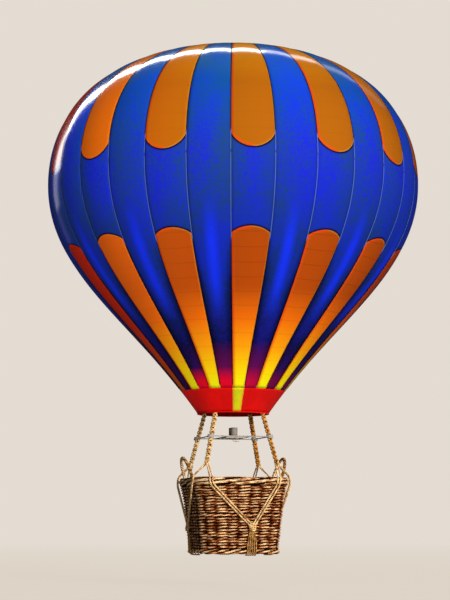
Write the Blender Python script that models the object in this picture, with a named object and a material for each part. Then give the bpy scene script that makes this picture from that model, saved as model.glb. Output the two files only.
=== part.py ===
"""Hot air balloon: fabric envelope with a parachute valve, gimballed twin burner, and a wicker basket
hung on four knotted ropes. Metres, +Z up, origin at the centre of the envelope's widest ring,
the basket's front face towards -Y."""

import math

import bmesh
import bpy
from mathutils import Matrix, Vector

GAP = 0.0003

# Envelope, heights above its widest ring
RADIUS = 8.0
CROWN_HEIGHT = 6.0
MOUTH_DEPTH = 9.86
MOUTH_RADIUS = 1.54
MOUTH_LEAN = math.radians(35.3)
SHELL = 0.010
CROWN_HANDLES = (0.585, 0.654)
CONE_HANDLES = (0.381, 0.516)
MERIDIAN_STEPS = 90  # above the widest ring, and below it
GORES = 28
GORE_TURN = math.radians(-8.2)
GORE_BULGE = 0.06
VENT_RADIUS = 2.2
CROWN_MIDDLE = 4.85
CROWN_BAND_END = 3.55
SHOULDER_MIDDLE = 1.95
UPPER_PETALS_END = 0.14
LOWER_PETALS_START = -2.87
CONE_MIDDLE = -6.1
SKIRT_TOP = -8.93
PANEL_EDGE = GAP / MOUTH_RADIUS / math.pi * GORES / 2

# Parachute valve and crown
VALVE_OVERLAP = 0.30
VALVE_GAP = 0.0008
VALVE_RINGS = (0.35, 1.0, 1.65)  # radii of the valve's inner rows
TAPE_BENDS = (0.9, 1.6)  # radii where a crown tape bends over the dome
TAPE_WIDTH = 0.05
TAPE_THICK = 0.006
HUB_INNER = 0.20
HUB_OUTER = 0.36
CROWN_RING_INNER = 0.24
CROWN_RING_OUTER = 0.32
CROWN_RING_HEIGHT = 0.03
HUB_TOP = CROWN_HEIGHT + 0.010
HUB_BOTTOM = CROWN_HEIGHT - 0.002

TUBE_SIDES = 8  # of the mouth's ring, the basket's borders and the burner's frame

# Ring in the mouth's hem, and the four ropes that hang from it
MOUTH_TUBE = 0.03
ROPE_RADIUS = 0.115
ROPE_SIDES = 12
ROPE_END_REACH = 2.15
ROPE_END = -12.03
CORNERS = {"front_right": -45, "back_right": 45, "back_left": 135, "front_left": -135}

# Basket, a rounded square in plan
CORNER_SHARE = 0.42
CORNER_STEPS = 5
WALL = 0.13
WALL_SECTIONS = (  # height, half width outside
    (-12.99, 2.05),
    (-13.64, 1.92),
    (-14.91, 1.80),
    (-15.46, 1.73),
)
RIM_TOP = -12.62
RIM_HALF = 2.11
RIM_THICK = 0.30
BASE_BOTTOM = -15.84
BASE_HALF = 1.76
BASE_THICK = 0.24
FLOOR_TOP = -15.60
FLOOR_THICK = 0.16
DECK_HALF = 1.0
DECK_RISE = 0.03
HANDLE_HALF_SPAN = 0.72
HANDLE_RISE = 0.82
HANDLE_LEAN = 0.26
HANDLE_TUBE = 0.075
HANDLE_STEPS = 12
HANDLE_SIDES = 8

# Cords of the net, round the basket
CORD_WIDE = 0.20
CORD_THICK = 0.095
RIM_CROSSING = 1.45
KNOT_HEIGHT = -14.75
KNOT_SIZE = (0.36, 0.19, 0.52)
KNOT_ROWS = 6
KNOT_SIDES = 10
KNOT_PLAY = 0.006
TAIL_WIDE = 0.36
TAIL_THICK = 0.07
TAIL_REACH = 0.40
TAIL_PLAY = 0.001
TAIL_START = 0.12  # below the knot's middle
TAIL_BEND = (0.02, -15.40)  # out from the base border, and height, where the tail leaves the wall
ROPE_END_PLAY = 0.004
NET_PLAY = 0.012
OVER_RIM = (0.02, 0.015, 0.03)  # sideways, inwards and up, where a leg turns over the rim
RIM_FACE_SHARE = 0.75  # how far down the rim's face a leg turns towards the knot
LEG_END = (0.06, 0.03, 0.12)  # sideways, out and up from the knot's middle
NETS = (  # face of the basket, its turn from the front, how far its knot lies along it from the middle
    ("front", 0, 0.36),
    ("right", 90, 0.0),
    ("back", 180, 0.0),
    ("left", 270, -0.45),
)

# Burner: frame on the ropes, gimbal ring, twin cans
FRAME_HEIGHT = -10.90
BAR = 0.05
SLEEVE_WALL = 0.03
SLEEVE_HEIGHT = 0.14
BEAM_REACH = 0.50
GIMBAL_HALF = 0.42
GIMBAL_BAR = 0.04
BEAM_RADIUS = 0.022
BEAM_SIDES = 24
PIN = 0.020
PIN_PLAY = 0.0009
PIN_PAST = 0.005
CUT_PAST = 0.1
CAN_PLACE = 0.17
CAN_RADIUS = 0.15
CAN_WALL = 0.012
CAN_TOP = 0.42
CAN_SIDES = 32
MANIFOLD = (0.16, 0.64, 0.14)

# Fuel cylinders in the basket's corners
CYLINDER_PLACE = 1.22
CYLINDER_OUTLINE = (  # radius, height above the floor
    (0.15, 0.0),
    (0.18, 0.05),
    (0.18, 0.78),
    (0.14, 0.88),
    (0.10, 0.90),
    (0.10, 1.00),
)
CYLINDER_SIDES = 24


def material(name, colour, roughness, metallic=0.0):
    made = bpy.data.materials.new(name)
    made.use_nodes = True
    shader = made.node_tree.nodes["Principled BSDF"]
    shader.inputs["Base Color"].default_value = (*colour, 1.0)
    shader.inputs["Roughness"].default_value = roughness
    shader.inputs["Metallic"].default_value = metallic
    return made


def add_object(name, mesh, finish):
    obj = bpy.data.objects.new(name, mesh)
    bpy.context.scene.collection.objects.link(obj)
    obj.data.materials.append(finish)
    return obj


def add_mesh(name, points, faces, finish):
    """An object from points and faces, its normals turned outwards."""
    mesh = bpy.data.meshes.new(name)
    shape = bmesh.new()
    corners = [shape.verts.new(point) for point in points]
    for face in faces:
        shape.faces.new([corners[index] for index in face])
    bmesh.ops.recalc_face_normals(shape, faces=shape.faces)
    shape.to_mesh(mesh)
    shape.free()
    return add_object(name, mesh, finish)


def add_skin(name, rows, finish, around=False, along=False):
    """A solid from a grid of points: each row joins the next, and both may close on themselves."""
    high, wide = len(rows), len(rows[0])
    points = [point for row in rows for point in row]
    faces = []
    for i in range(high if along else high - 1):
        for j in range(wide if around else wide - 1):
            k, m = (i + 1) % high, (j + 1) % wide
            faces.append((i * wide + j, i * wide + m, k * wide + m, k * wide + j))
    if not along:
        faces.append(tuple(range(wide)))
        faces.append(tuple(range((high - 1) * wide, high * wide)))
    return add_mesh(name, points, faces, finish)


def join(target, *others):
    """A Boolean union of solids that overlap, which leaves one object."""
    for other in others:
        modifier = target.modifiers.new("join", "BOOLEAN")
        modifier.operation = "UNION"
        modifier.solver = "EXACT"
        modifier.object = other
    return bake(target, others)


def cut(target, *cutters):
    for cutter in cutters:
        modifier = target.modifiers.new("cut", "BOOLEAN")
        modifier.operation = "DIFFERENCE"
        modifier.solver = "EXACT"
        modifier.object = cutter
    return bake(target, cutters)


def bake(target, helpers):
    """Keeps the shape that the modifiers give, and removes the helpers."""
    graph = bpy.context.evaluated_depsgraph_get()
    mesh = bpy.data.meshes.new_from_object(target.evaluated_get(graph))
    target.modifiers.clear()
    target.data = mesh
    for helper in helpers:
        bpy.data.objects.remove(helper)
    return target


def polar(radius, angle, height):
    """Angle 0 is the front, -Y, and a positive one turns to the right, +X."""
    return Vector((radius * math.sin(angle), -radius * math.cos(angle), height))


def bezier(a, b, c, d, share):
    rest = 1 - share
    return rest**3 * a + 3 * rest**2 * share * b + 3 * rest * share**2 * c + share**3 * d


def meridian():
    """The envelope's outline from crown to mouth, as (radius, height) points close together."""
    rise, run = CROWN_HANDLES
    start, end = Vector((0, CROWN_HEIGHT)), Vector((RADIUS, 0))
    pulls = (Vector((run * RADIUS, CROWN_HEIGHT)), Vector((RADIUS, rise * CROWN_HEIGHT)))
    top = [bezier(start, *pulls, end, i / MERIDIAN_STEPS) for i in range(MERIDIAN_STEPS)]
    drop, pull = CONE_HANDLES
    mouth = Vector((MOUTH_RADIUS, -MOUTH_DEPTH))
    lean = Vector((math.sin(MOUTH_LEAN), math.cos(MOUTH_LEAN)))
    pulls = (Vector((RADIUS, -drop * MOUTH_DEPTH)), mouth + pull * MOUTH_DEPTH * lean)
    low = [bezier(end, *pulls, mouth, i / MERIDIAN_STEPS) for i in range(MERIDIAN_STEPS + 1)]
    return top + low


OUTLINE = meridian()
MOUTH_PLACE = len(OUTLINE) - 1.001


def outline_at(place, of_height):
    """(index, share) on the outline where the height, or near the crown the radius, has this value."""
    for i in range(len(OUTLINE) - 1):
        a, b = OUTLINE[i], OUTLINE[i + 1]
        low, high = (b.y, a.y) if of_height else (a.x, b.x)
        if low <= place <= high:
            share = (a.y - place) / (a.y - b.y) if of_height else (place - a.x) / (b.x - a.x)
            return i + share
    return len(OUTLINE) - 1


def outline_point(place):
    """(radius, height, outward radius part, outward height part) at a place on the outline."""
    i = min(int(place), len(OUTLINE) - 2)
    a, b = OUTLINE[i], OUTLINE[i + 1]
    at = a.lerp(b, place - i)
    along = (OUTLINE[min(i + 2, len(OUTLINE) - 1)] - OUTLINE[max(i - 1, 0)]).normalized()
    return at.x, at.y, -along.y, along.x


def bulge_at(radius):
    """How far a gore's middle stands out past its seams: nothing at the crown and little at the mouth."""
    past_vent = max(0.0, radius - VENT_RADIUS - VALVE_OVERLAP)
    return GORE_BULGE * (past_vent / RADIUS) ** 0.5


def shell_point(place, column, depth, slide=0.0):
    """A point of the shell: column counts half gores, depth goes inwards, slide down the outline."""
    radius, height, out, up = outline_point(place)
    middle = round(column) % 2 == 0
    bulge = bulge_at(radius) * (0.5 if middle else -0.5)
    angle = GORE_TURN + math.pi * column / GORES
    proud = bulge - depth
    return polar(radius + proud * out + slide * up, angle, height + proud * up - slide * out)


def add_band(name, start, end, rows, finish, columns=None):
    """A band of the fabric shell between two places on the outline. A whole ring has no columns given."""
    whole = columns is None
    columns = list(range(2 * GORES) if whole else columns)
    if not whole:
        columns[0] += PANEL_EDGE
        columns[-1] -= PANEL_EDGE
    places = [start + (end - start) * i / (rows - 1) for i in range(rows)]
    slides = [GAP / 2] + [0.0] * (rows - 2) + [-GAP / 2]
    outer = [[shell_point(p, c, 0.0, s) for p, s in zip(places, slides)] for c in columns]
    inner = [[shell_point(p, c, SHELL, s) for p, s in zip(places, slides)] for c in columns]
    sections = [out + into[::-1] for out, into in zip(outer, inner)]
    return add_skin(name, sections, finish, around=True, along=whole)


def add_envelope(blue, red, yellow):
    vent = outline_at(VENT_RADIUS, False)
    seat = outline_at(VENT_RADIUS + VALVE_OVERLAP, False)
    add_band("crown_ring_panels", vent, seat, 2, blue)
    bands = (  # name, height of the lower edge, rows of points
        ("crown_upper_panels", CROWN_MIDDLE, 3),
        ("crown_lower_panels", CROWN_BAND_END, 3),
        ("shoulder_upper_panels", SHOULDER_MIDDLE, 3),
        ("shoulder_lower_panels", UPPER_PETALS_END, 3),
        ("belt_panels", LOWER_PETALS_START, 4),
        ("flank_panels", CONE_MIDDLE, 4),
        ("throat_panels", SKIRT_TOP, 4),
    )
    start = seat
    for name, low, rows in bands:
        end = outline_at(low, True)
        add_band(name, start, end, rows, blue)
        start = end
    add_band("skirt", start, MOUTH_PLACE, 2, red, columns=range(1, 2 * GORES))
    add_band("skirt_front_panel", start, MOUTH_PLACE, 2, yellow, columns=(-1, 0, 1))
    return vent, seat


def add_valve(vent, seat, finish):
    """The parachute valve: a dome that lies against the inside of the vent's edge."""
    places = [outline_at(r, False) for r in VALVE_RINGS] + [vent, seat]
    top = [[shell_point(p, c, SHELL + VALVE_GAP) for c in range(2 * GORES)] for p in places]
    under = [[shell_point(p, c, 2 * SHELL + VALVE_GAP) for c in range(2 * GORES)] for p in places]
    return add_skin("parachute_valve", top + under[::-1], finish, around=True)


def add_crown(vent, seat, tape, steel):
    """Tapes from the vent's edge over the valve to a flat hub, and the crown ring on it."""
    hub = add_ring("crown_tapes", HUB_INNER, HUB_OUTER, HUB_BOTTOM, HUB_TOP, tape)
    middle = (HUB_INNER + HUB_OUTER) / 2
    places = [outline_at(r, False) for r in (middle, *TAPE_BENDS)] + [vent, seat]
    points, faces = [], []
    for column in range(1, 2 * GORES, 2):
        across = polar(TAPE_WIDTH / 2, GORE_TURN + math.pi * (column / GORES + 0.5), 0)
        start = len(points)
        for place in places:
            low = shell_point(place, column, -GAP)
            high = shell_point(place, column, -GAP - TAPE_THICK)
            points += [low - across, low + across, high + across, high - across]
        for i in range(len(places) - 1):
            a = start + 4 * i
            faces += [(a + k, a + (k + 1) % 4, a + 4 + (k + 1) % 4, a + 4 + k) for k in range(4)]
        last = start + 4 * (len(places) - 1)
        faces += [tuple(range(start, start + 4)), tuple(range(last, last + 4))]
    join(hub, add_mesh("tapes", points, faces, tape))
    low = HUB_TOP + GAP
    add_ring("crown_ring", CROWN_RING_INNER, CROWN_RING_OUTER, low, low + CROWN_RING_HEIGHT, steel)


def add_ring(name, inner, outer, low, high, finish, sides=2 * GORES):
    """A flat ring with a square section, round the Z axis."""
    section = ((inner, low), (outer, low), (outer, high), (inner, high))
    rows = [[polar(r, 2 * math.pi * i / sides, z) for i in range(sides)] for r, z in section]
    return add_skin(name, rows, finish, around=True, along=True)


def mouth_ring_rows(tube):
    """Eight rings of points round the tube in the hem, a flat of the tube facing the hem's edge."""
    radius, height, out, up = outline_point(MOUTH_PLACE)
    gap = GAP + MOUTH_TUBE * math.cos(math.pi / TUBE_SIDES)
    centre_radius = radius + (SHELL / 2) * -out + gap * up
    centre_height = height + (SHELL / 2) * -up - gap * out
    turn = math.atan2(up, out)
    rows = []
    for i in range(TUBE_SIDES):
        angle = turn + math.pi * (2 * i + 1) / TUBE_SIDES
        r = centre_radius + tube * math.cos(angle)
        z = centre_height + tube * math.sin(angle)
        rows.append([polar(r, GORE_TURN + math.pi * c / GORES, z) for c in range(2 * GORES)])
    return rows, centre_radius, centre_height


def rope_circle(share, radius, angle):
    """A level ring of points round a rope's middle: share 0 at the mouth ring, 1 at its lower end."""
    _, top_radius, top = mouth_ring_rows(MOUTH_TUBE)
    start = polar(top_radius, angle, top)
    end = polar(ROPE_END_REACH, angle, ROPE_END)
    middle = start.lerp(end, share)
    return [middle + polar(radius, 2 * math.pi * i / ROPE_SIDES, 0) for i in range(ROPE_SIDES)]


def rope_share(height):
    top = mouth_ring_rows(MOUTH_TUBE)[2]
    return (top - height) / (top - ROPE_END)


def add_mouth_and_ropes(steel, rope):
    ring_rows = mouth_ring_rows(MOUTH_TUBE)[0]
    add_skin("mouth_ring", ring_rows, steel, around=True, along=True)
    for place, angle in CORNERS.items():
        angle = math.radians(angle)
        solid = add_skin(
            "rope_" + place,
            [rope_circle(0, ROPE_RADIUS, angle), rope_circle(1, ROPE_RADIUS, angle)],
            rope,
            around=True,
        )
        saddle = add_skin("saddle", mouth_ring_rows(MOUTH_TUBE + GAP)[0], steel, around=True, along=True)
        cut(solid, saddle)


def plan(half, offset, height):
    """A rounded square of this half width, moved outwards by the offset, as a loop of points."""
    radius = CORNER_SHARE * half
    centre = half - radius
    points = []
    for quarter in range(4):
        for i in range(CORNER_STEPS + 1):
            angle = math.pi / 2 * (quarter + i / CORNER_STEPS)
            at = Matrix.Rotation(math.pi / 2 * quarter, 2) @ Vector((centre, centre))
            reach = radius + offset
            points.append(Vector((at.x + reach * math.cos(angle), at.y + reach * math.sin(angle), height)))
    return points


def border_rows(half, thick, low, high):
    """An eight-sided section carried round the basket, flat at the bottom and top."""
    middle = (low + high) / 2
    stretch = 1 / math.cos(math.pi / TUBE_SIDES)
    rows = []
    for i in range(TUBE_SIDES):
        angle = math.pi * (2 * i + 1) / TUBE_SIDES
        offset = thick / 2 * stretch * math.cos(angle) - thick / 2
        rows.append(plan(half, offset, middle + (high - low) / 2 * stretch * math.sin(angle)))
    return rows


def add_basket(cane, wood):
    out = [plan(half, 0, z) for z, half in WALL_SECTIONS]
    into = [plan(half, -WALL, z) for z, half in WALL_SECTIONS]
    add_skin("basket_wall", out + into[::-1], cane, around=True, along=True)
    rim_low = WALL_SECTIONS[0][0] + GAP
    base_high = WALL_SECTIONS[-1][0] - GAP
    rim = border_rows(RIM_HALF, RIM_THICK, rim_low, RIM_TOP)
    add_skin("rim_border", rim, cane, around=True, along=True)
    base = border_rows(BASE_HALF, BASE_THICK, BASE_BOTTOM, base_high)
    add_skin("base_border", base, cane, around=True, along=True)
    inside = -BASE_THICK - GAP
    slab = [plan(BASE_HALF, inside, FLOOR_TOP - FLOOR_THICK), plan(BASE_HALF, inside, FLOOR_TOP)]
    floor = add_skin("basket_floor", slab, wood, around=True)
    low, high = FLOOR_TOP - FLOOR_THICK / 2, FLOOR_TOP + DECK_RISE
    join(floor, box("deck", (-DECK_HALF, -DECK_HALF, low), (DECK_HALF, DECK_HALF, high), wood))
    for name, side in (("handle_left", -1), ("handle_right", 1)):
        add_handle(name, side, cane)


def add_handle(name, side, finish):
    """An arch that stands on the rim, its two feet cut level."""
    rows = []
    for i in range(HANDLE_STEPS + 1):
        turn = math.pi * i / HANDLE_STEPS
        out = Vector((0, -math.cos(turn), math.sin(turn)))
        middle = Vector((side * (RIM_HALF - RIM_THICK / 2), 0, RIM_TOP + GAP))
        lean = side * HANDLE_LEAN * math.sin(turn)
        middle += Vector((lean, HANDLE_HALF_SPAN * out.y, HANDLE_RISE * out.z))
        across = Vector((1, 0, 0))
        row = []
        for k in range(HANDLE_SIDES):
            angle = 2 * math.pi * k / HANDLE_SIDES
            row.append(middle + HANDLE_TUBE * (math.cos(angle) * across + math.sin(angle) * out))
        rows.append(row)
    return add_skin(name, rows, finish, around=True)


def wall_half(height):
    """The half width of the wall's outside at this height."""
    for (high, wide), (low, narrow) in zip(WALL_SECTIONS, WALL_SECTIONS[1:]):
        if low <= height <= high:
            return wide + (narrow - wide) * (high - height) / (high - low)
    return WALL_SECTIONS[-1][1]


def add_strip(name, stations, finish):
    """A flat cord through stations of (middle, half width vector, half thickness vector)."""
    rows = [[m - w - t, m + w - t, m + w + t, m - w + t] for m, w, t in stations]
    return add_skin(name, rows, finish, around=True)


def net_leg(side, offset, finish):
    """Two strands from a rope's end over the rim to the knot, on the front face. Side is -1 or 1."""
    corner = ROPE_END_REACH * math.sqrt(0.5)
    share = math.sqrt(0.5)
    half_thick = CORD_THICK / 2
    apart = half_thick + ROPE_END_PLAY
    start = Vector((side * (corner - share * apart), -corner - share * apart, ROPE_END - GAP))
    start_wide = Vector((side * share, -share, 0))
    start_thick = Vector((-side * share, -share, 0))
    outside = RIM_HALF + half_thick + NET_PLAY
    sideways, inwards, up = OVER_RIM
    over = Vector((side * (RIM_CROSSING + sideways), -outside + inwards, RIM_TOP + up))
    rim_height = RIM_TOP - WALL_SECTIONS[0][0]
    beside = Vector((side * RIM_CROSSING, -outside, RIM_TOP - RIM_FACE_SHARE * rim_height))
    sideways, out, up = LEG_END
    end_height = KNOT_HEIGHT + up
    end = Vector((offset + side * sideways, -wall_half(end_height) - half_thick - out, end_height))
    along = (end - beside).normalized()
    across = along.cross(Vector((0, -1, 0))).normalized()
    if across.x * side < 0:
        across = -across
    outward = Vector((0, -1, 0))
    level = Vector((side, 0, 0))
    tilted = (outward + Vector((0, 0, 1))).normalized()
    stations = (
        (start, start_wide, start_thick),
        (over, level, tilted),
        (beside, (level + across).normalized(), outward),
        (end, across, outward),
    )
    scaled = [(m, w * CORD_WIDE / 2, t * half_thick) for m, w, t in stations]
    return add_strip("leg", scaled, finish)


def add_net(place, turn, offset, finish):
    """Two legs, the knot where they meet, and the tail that runs down and under the basket."""
    wide, deep, high = KNOT_SIZE
    knot_middle = Vector((offset, -wall_half(KNOT_HEIGHT) - deep / 2 - KNOT_PLAY, KNOT_HEIGHT))
    rows = []
    for i in range(1, KNOT_ROWS):
        angle = math.pi * i / KNOT_ROWS
        ring = math.sin(angle)
        turns = [2 * math.pi * k / KNOT_SIDES for k in range(KNOT_SIDES)]
        half_wide, half_deep, level = ring * wide / 2, ring * deep / 2, math.cos(angle) * high / 2
        around = [Vector((half_wide * math.cos(turn), half_deep * math.sin(turn), level)) for turn in turns]
        rows.append([knot_middle + point for point in around])
    net = add_skin("net_" + place, rows, finish, around=True)
    side_out = BASE_HALF + TAIL_PLAY
    bend_out, bend_height = TAIL_BEND
    tail_top = KNOT_HEIGHT - TAIL_START
    slope = math.pi / TUBE_SIDES
    chamfer = BASE_THICK / 2 * (1 - math.tan(math.pi / TUBE_SIDES))
    rise = (WALL_SECTIONS[-1][0] - BASE_BOTTOM) / 2 * (1 - math.tan(math.pi / TUBE_SIDES))
    under = BASE_BOTTOM - GAP
    inner = (  # distance out, height, and the way out of the basket there
        (wall_half(tail_top) + NET_PLAY, tail_top, (1, 0)),
        (side_out + bend_out, bend_height, (1, 0)),
        (side_out, BASE_BOTTOM + rise, (math.cos(slope), -math.sin(slope))),
        (side_out - chamfer, under, (math.sin(slope), -math.cos(slope))),
        (side_out - TAIL_REACH, under, (0, -1)),
    )
    stations = []
    for out, z, (push, drop) in inner:
        thick = Vector((0, -push, drop)) * TAIL_THICK / 2
        middle = Vector((offset, -out, z)) + thick
        stations.append((middle, Vector((TAIL_WIDE / 2, 0, 0)), thick))
    tail = add_strip("tail", stations, finish)
    join(net, net_leg(-1, offset, finish), net_leg(1, offset, finish), tail)
    net.data.transform(Matrix.Rotation(math.radians(turn), 4, "Z"))


def cylinder(name, start, end, radius, finish, sides=BEAM_SIDES):
    """A straight round bar from start to end."""
    start, end = Vector(start), Vector(end)
    turn = (end - start).to_track_quat("Z", "Y")
    rows = []
    for middle in (start, end):
        angles = [2 * math.pi * (i + 0.5) / sides for i in range(sides)]
        round_it = [Vector((radius * math.cos(a), radius * math.sin(a), 0)) for a in angles]
        rows.append([middle + turn @ point for point in round_it])
    return add_skin(name, rows, finish, around=True)


def box(name, low, high, finish):
    corners = ((low[0], low[1]), (high[0], low[1]), (high[0], high[1]), (low[0], high[1]))
    rows = [[Vector((x, y, z)) for x, y in corners] for z in (low[2], high[2])]
    return add_skin(name, rows, finish, around=True)


def square_tube_rows(half, bar, height):
    """A round tube carried round a square with mitred corners."""
    rows = []
    for i in range(TUBE_SIDES):
        angle = math.pi * (2 * i + 1) / TUBE_SIDES
        side = half + bar / 2 * math.cos(angle)
        level = height + bar / 2 * math.sin(angle)
        rows.append([Vector((x * side, y * side, level)) for x, y in ((1, 1), (-1, 1), (-1, -1), (1, -1))])
    return rows


def add_burner_frame(steel):
    """A square of tube held at the four ropes, and two beams with the pins that carry the gimbal."""
    share = rope_share(FRAME_HEIGHT)
    reach = (rope_circle(share, 0, math.radians(45))[0]).x
    tube = square_tube_rows(reach, BAR, FRAME_HEIGHT)
    frame = add_skin("burner_frame", tube, steel, around=True, along=True)
    helpers = []
    for side in (-1, 1):
        x = side * BEAM_REACH
        start, end = (x, -reach, FRAME_HEIGHT), (x, reach, FRAME_HEIGHT)
        helpers.append(cylinder("beam", start, end, BEAM_RADIUS, steel))
        pin_end = side * (GIMBAL_HALF - GIMBAL_BAR - PIN_PAST)
        helpers.append(cylinder("pin", (x, 0, FRAME_HEIGHT), (pin_end, 0, FRAME_HEIGHT), PIN, steel))
    low, high = rope_share(FRAME_HEIGHT - SLEEVE_HEIGHT / 2), rope_share(FRAME_HEIGHT + SLEEVE_HEIGHT / 2)
    cutters = []
    for angle in CORNERS.values():
        angle = math.radians(angle)
        rows = [rope_circle(s, ROPE_RADIUS + SLEEVE_WALL, angle) for s in (low, high)]
        helpers.append(add_skin("sleeve", rows, steel, around=True))
        rows = [rope_circle(s, ROPE_RADIUS + GAP, angle) for s in (0, 1)]
        cutters.append(add_skin("rope_space", rows, steel, around=True))
    join(frame, *helpers)
    cut(frame, *cutters)


def add_burner(steel, brass):
    """The gimbal ring on the frame's pins, and the twin burner that turns in it on pins of its own."""
    inner = GIMBAL_HALF - GIMBAL_BAR
    low, high = FRAME_HEIGHT - GIMBAL_BAR, FRAME_HEIGHT + GIMBAL_BAR
    ring = box("gimbal_ring", (-GIMBAL_HALF, -GIMBAL_HALF, low), (GIMBAL_HALF, GIMBAL_HALF, high), steel)
    space = box("space", (-inner, -inner, low - CUT_PAST), (inner, inner, high + CUT_PAST), steel)
    bore = PIN + PIN_PLAY
    bores = [
        cylinder("bore", (-1, 0, FRAME_HEIGHT), (1, 0, FRAME_HEIGHT), bore, steel),
        cylinder("bore", (0, -1, FRAME_HEIGHT), (0, 1, FRAME_HEIGHT), bore, steel),
    ]
    cut(ring, space, *bores)

    wide, long, deep = MANIFOLD
    body = box(
        "burner_body",
        (-wide / 2, -long / 2, FRAME_HEIGHT - deep / 2),
        (wide / 2, long / 2, FRAME_HEIGHT + deep / 2),
        brass,
    )
    reach = GIMBAL_HALF + PIN_PAST
    pin = cylinder("pin", (0, -reach, FRAME_HEIGHT), (0, reach, FRAME_HEIGHT), PIN, brass)
    join(body, pin)
    for name, side in (("burner_can_front", -1), ("burner_can_back", 1)):
        low = FRAME_HEIGHT + deep / 2 + GAP
        high = FRAME_HEIGHT + CAN_TOP
        y = side * CAN_PLACE
        can = cylinder(name, (0, y, low), (0, y, high), CAN_RADIUS, steel, CAN_SIDES)
        start, end = (0, y, low + CAN_WALL), (0, y, high + CUT_PAST)
        cut(can, cylinder("hollow", start, end, CAN_RADIUS - CAN_WALL, steel, CAN_SIDES))


def add_cylinders(steel):
    """Four fuel cylinders that stand in the corners: a turned outline with a collar on top."""
    for place, corner in CORNERS.items():
        middle = polar(CYLINDER_PLACE * math.sqrt(2), math.radians(corner), FLOOR_TOP + GAP)
        angles = [2 * math.pi * i / CYLINDER_SIDES for i in range(CYLINDER_SIDES)]
        rows = [[middle + polar(r, angle, z) for angle in angles] for r, z in CYLINDER_OUTLINE]
        add_skin("cylinder_" + place, rows, steel, around=True)


def main():
    for old in list(bpy.data.objects):
        bpy.data.objects.remove(old)
    blue = material("blue_nylon", (0.01, 0.04, 0.55), 0.45)
    red = material("red_nylon", (0.6, 0.01, 0.01), 0.5)
    yellow = material("yellow_nylon", (0.75, 0.65, 0.03), 0.5)
    tape = material("tape", (0.35, 0.45, 0.75), 0.7)
    rope = material("jute_rope", (0.72, 0.52, 0.22), 0.9)
    cane = material("wicker_cane", (0.42, 0.22, 0.09), 0.7)
    wood = material("plywood", (0.45, 0.30, 0.16), 0.7)
    steel = material("stainless_steel", (0.6, 0.6, 0.6), 0.3, 1.0)
    brass = material("brass", (0.7, 0.5, 0.2), 0.35, 1.0)
    vent, seat = add_envelope(blue, red, yellow)
    add_valve(vent, seat, blue)
    add_crown(vent, seat, tape, steel)
    add_mouth_and_ropes(steel, rope)
    add_basket(cane, wood)
    for place, turn, offset in NETS:
        add_net(place, turn, offset, rope)
    add_burner_frame(steel)
    add_burner(steel, brass)
    add_cylinders(steel)


main()
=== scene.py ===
"""Looks of the hot air balloon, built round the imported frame. Metres, +Z up, as in the frame."""

import math

import bmesh
import bpy
from mathutils import Matrix, Vector


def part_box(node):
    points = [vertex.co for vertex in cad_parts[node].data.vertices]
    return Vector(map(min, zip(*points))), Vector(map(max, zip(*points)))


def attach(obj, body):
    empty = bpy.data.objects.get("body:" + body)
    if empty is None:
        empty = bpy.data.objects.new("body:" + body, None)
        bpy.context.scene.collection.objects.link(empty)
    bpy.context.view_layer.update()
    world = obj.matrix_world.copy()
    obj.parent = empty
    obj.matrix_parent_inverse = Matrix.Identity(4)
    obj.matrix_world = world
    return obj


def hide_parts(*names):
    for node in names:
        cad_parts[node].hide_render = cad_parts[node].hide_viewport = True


FULL_TURN = 2 * math.pi

# Envelope, as in the frame: heights are above its widest ring
RADIUS = 8.0
CROWN_HEIGHT = 6.0
MOUTH_DEPTH = 9.86
MOUTH_RADIUS = 1.54
MOUTH_LEAN = math.radians(35.3)

# The outline is two curves that meet at the widest ring. Each one's handles, at that ring and at its
# other end, as shares of its height, but the crown's own as a share of the radius
CROWN_HANDLES = (0.585, 0.654)
CONE_HANDLES = (0.381, 0.516)

GORES = 28
GORE_TURN = math.radians(-8.2)
VENT_RADIUS = 2.2
VALVE_RADIUS = 2.5
VALVE_DROP = 0.0112
SKIRT_TOP = -8.93
SKIRT_HEIGHT = 1.16
CLOTH = 0.008
GORE_BULGE = 0.09
BULGE_FROM, BULGE_WHOLE = 3.0, 7.4
CROWN_RING_RADIUS = 0.27

# Petals: the round ends of their shapes, and the heights of their tips
UPPER_END_RADIUS = 0.975
LOWER_END_RADIUS = 1.12
UPPER_TIP_HEIGHT = 0.14
LOWER_TIP_HEIGHT = -2.87
SEAM_SPACING = 0.69

# Load tapes, and the hem's cloth round the mouth's ring
TAPE_WIDTH = 0.030
TAPE_THICK = 0.008
MOUTH_TUBE = 0.03
HEM_CLOTH = 0.004

# Ropes: from the mouth's ring to the corners of the basket's rim, and their knots
ROPE_TOP_REACH = MOUTH_RADIUS - 0.11
ROPE_TOP = -MOUTH_DEPTH + 0.04
ROPE_END_REACH = 2.15
ROPE_END = -12.03
ROPE_HALF_WIDTH = 0.080
ROPE_DEPTH = 0.060
ROPE_STRAND = 0.037
ROPE_CORE = 0.030
KNOT_PITCH = 0.195
CORNERS = {"front_right": -45, "back_right": 45, "back_left": 135, "front_left": -135}

# Cords round the basket: their face, its turn from the front, how far the knot lies off its middle
NETS = (("front", 0, 0.36), ("right", 90, 0.0), ("back", 180, 0.0), ("left", 270, -0.45))
KNOT_HEIGHT = -14.75
RIM_CROSSING = 1.45
CORD_APART = 0.060
PLY = 0.020
CORD_LAY = 0.17

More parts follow.
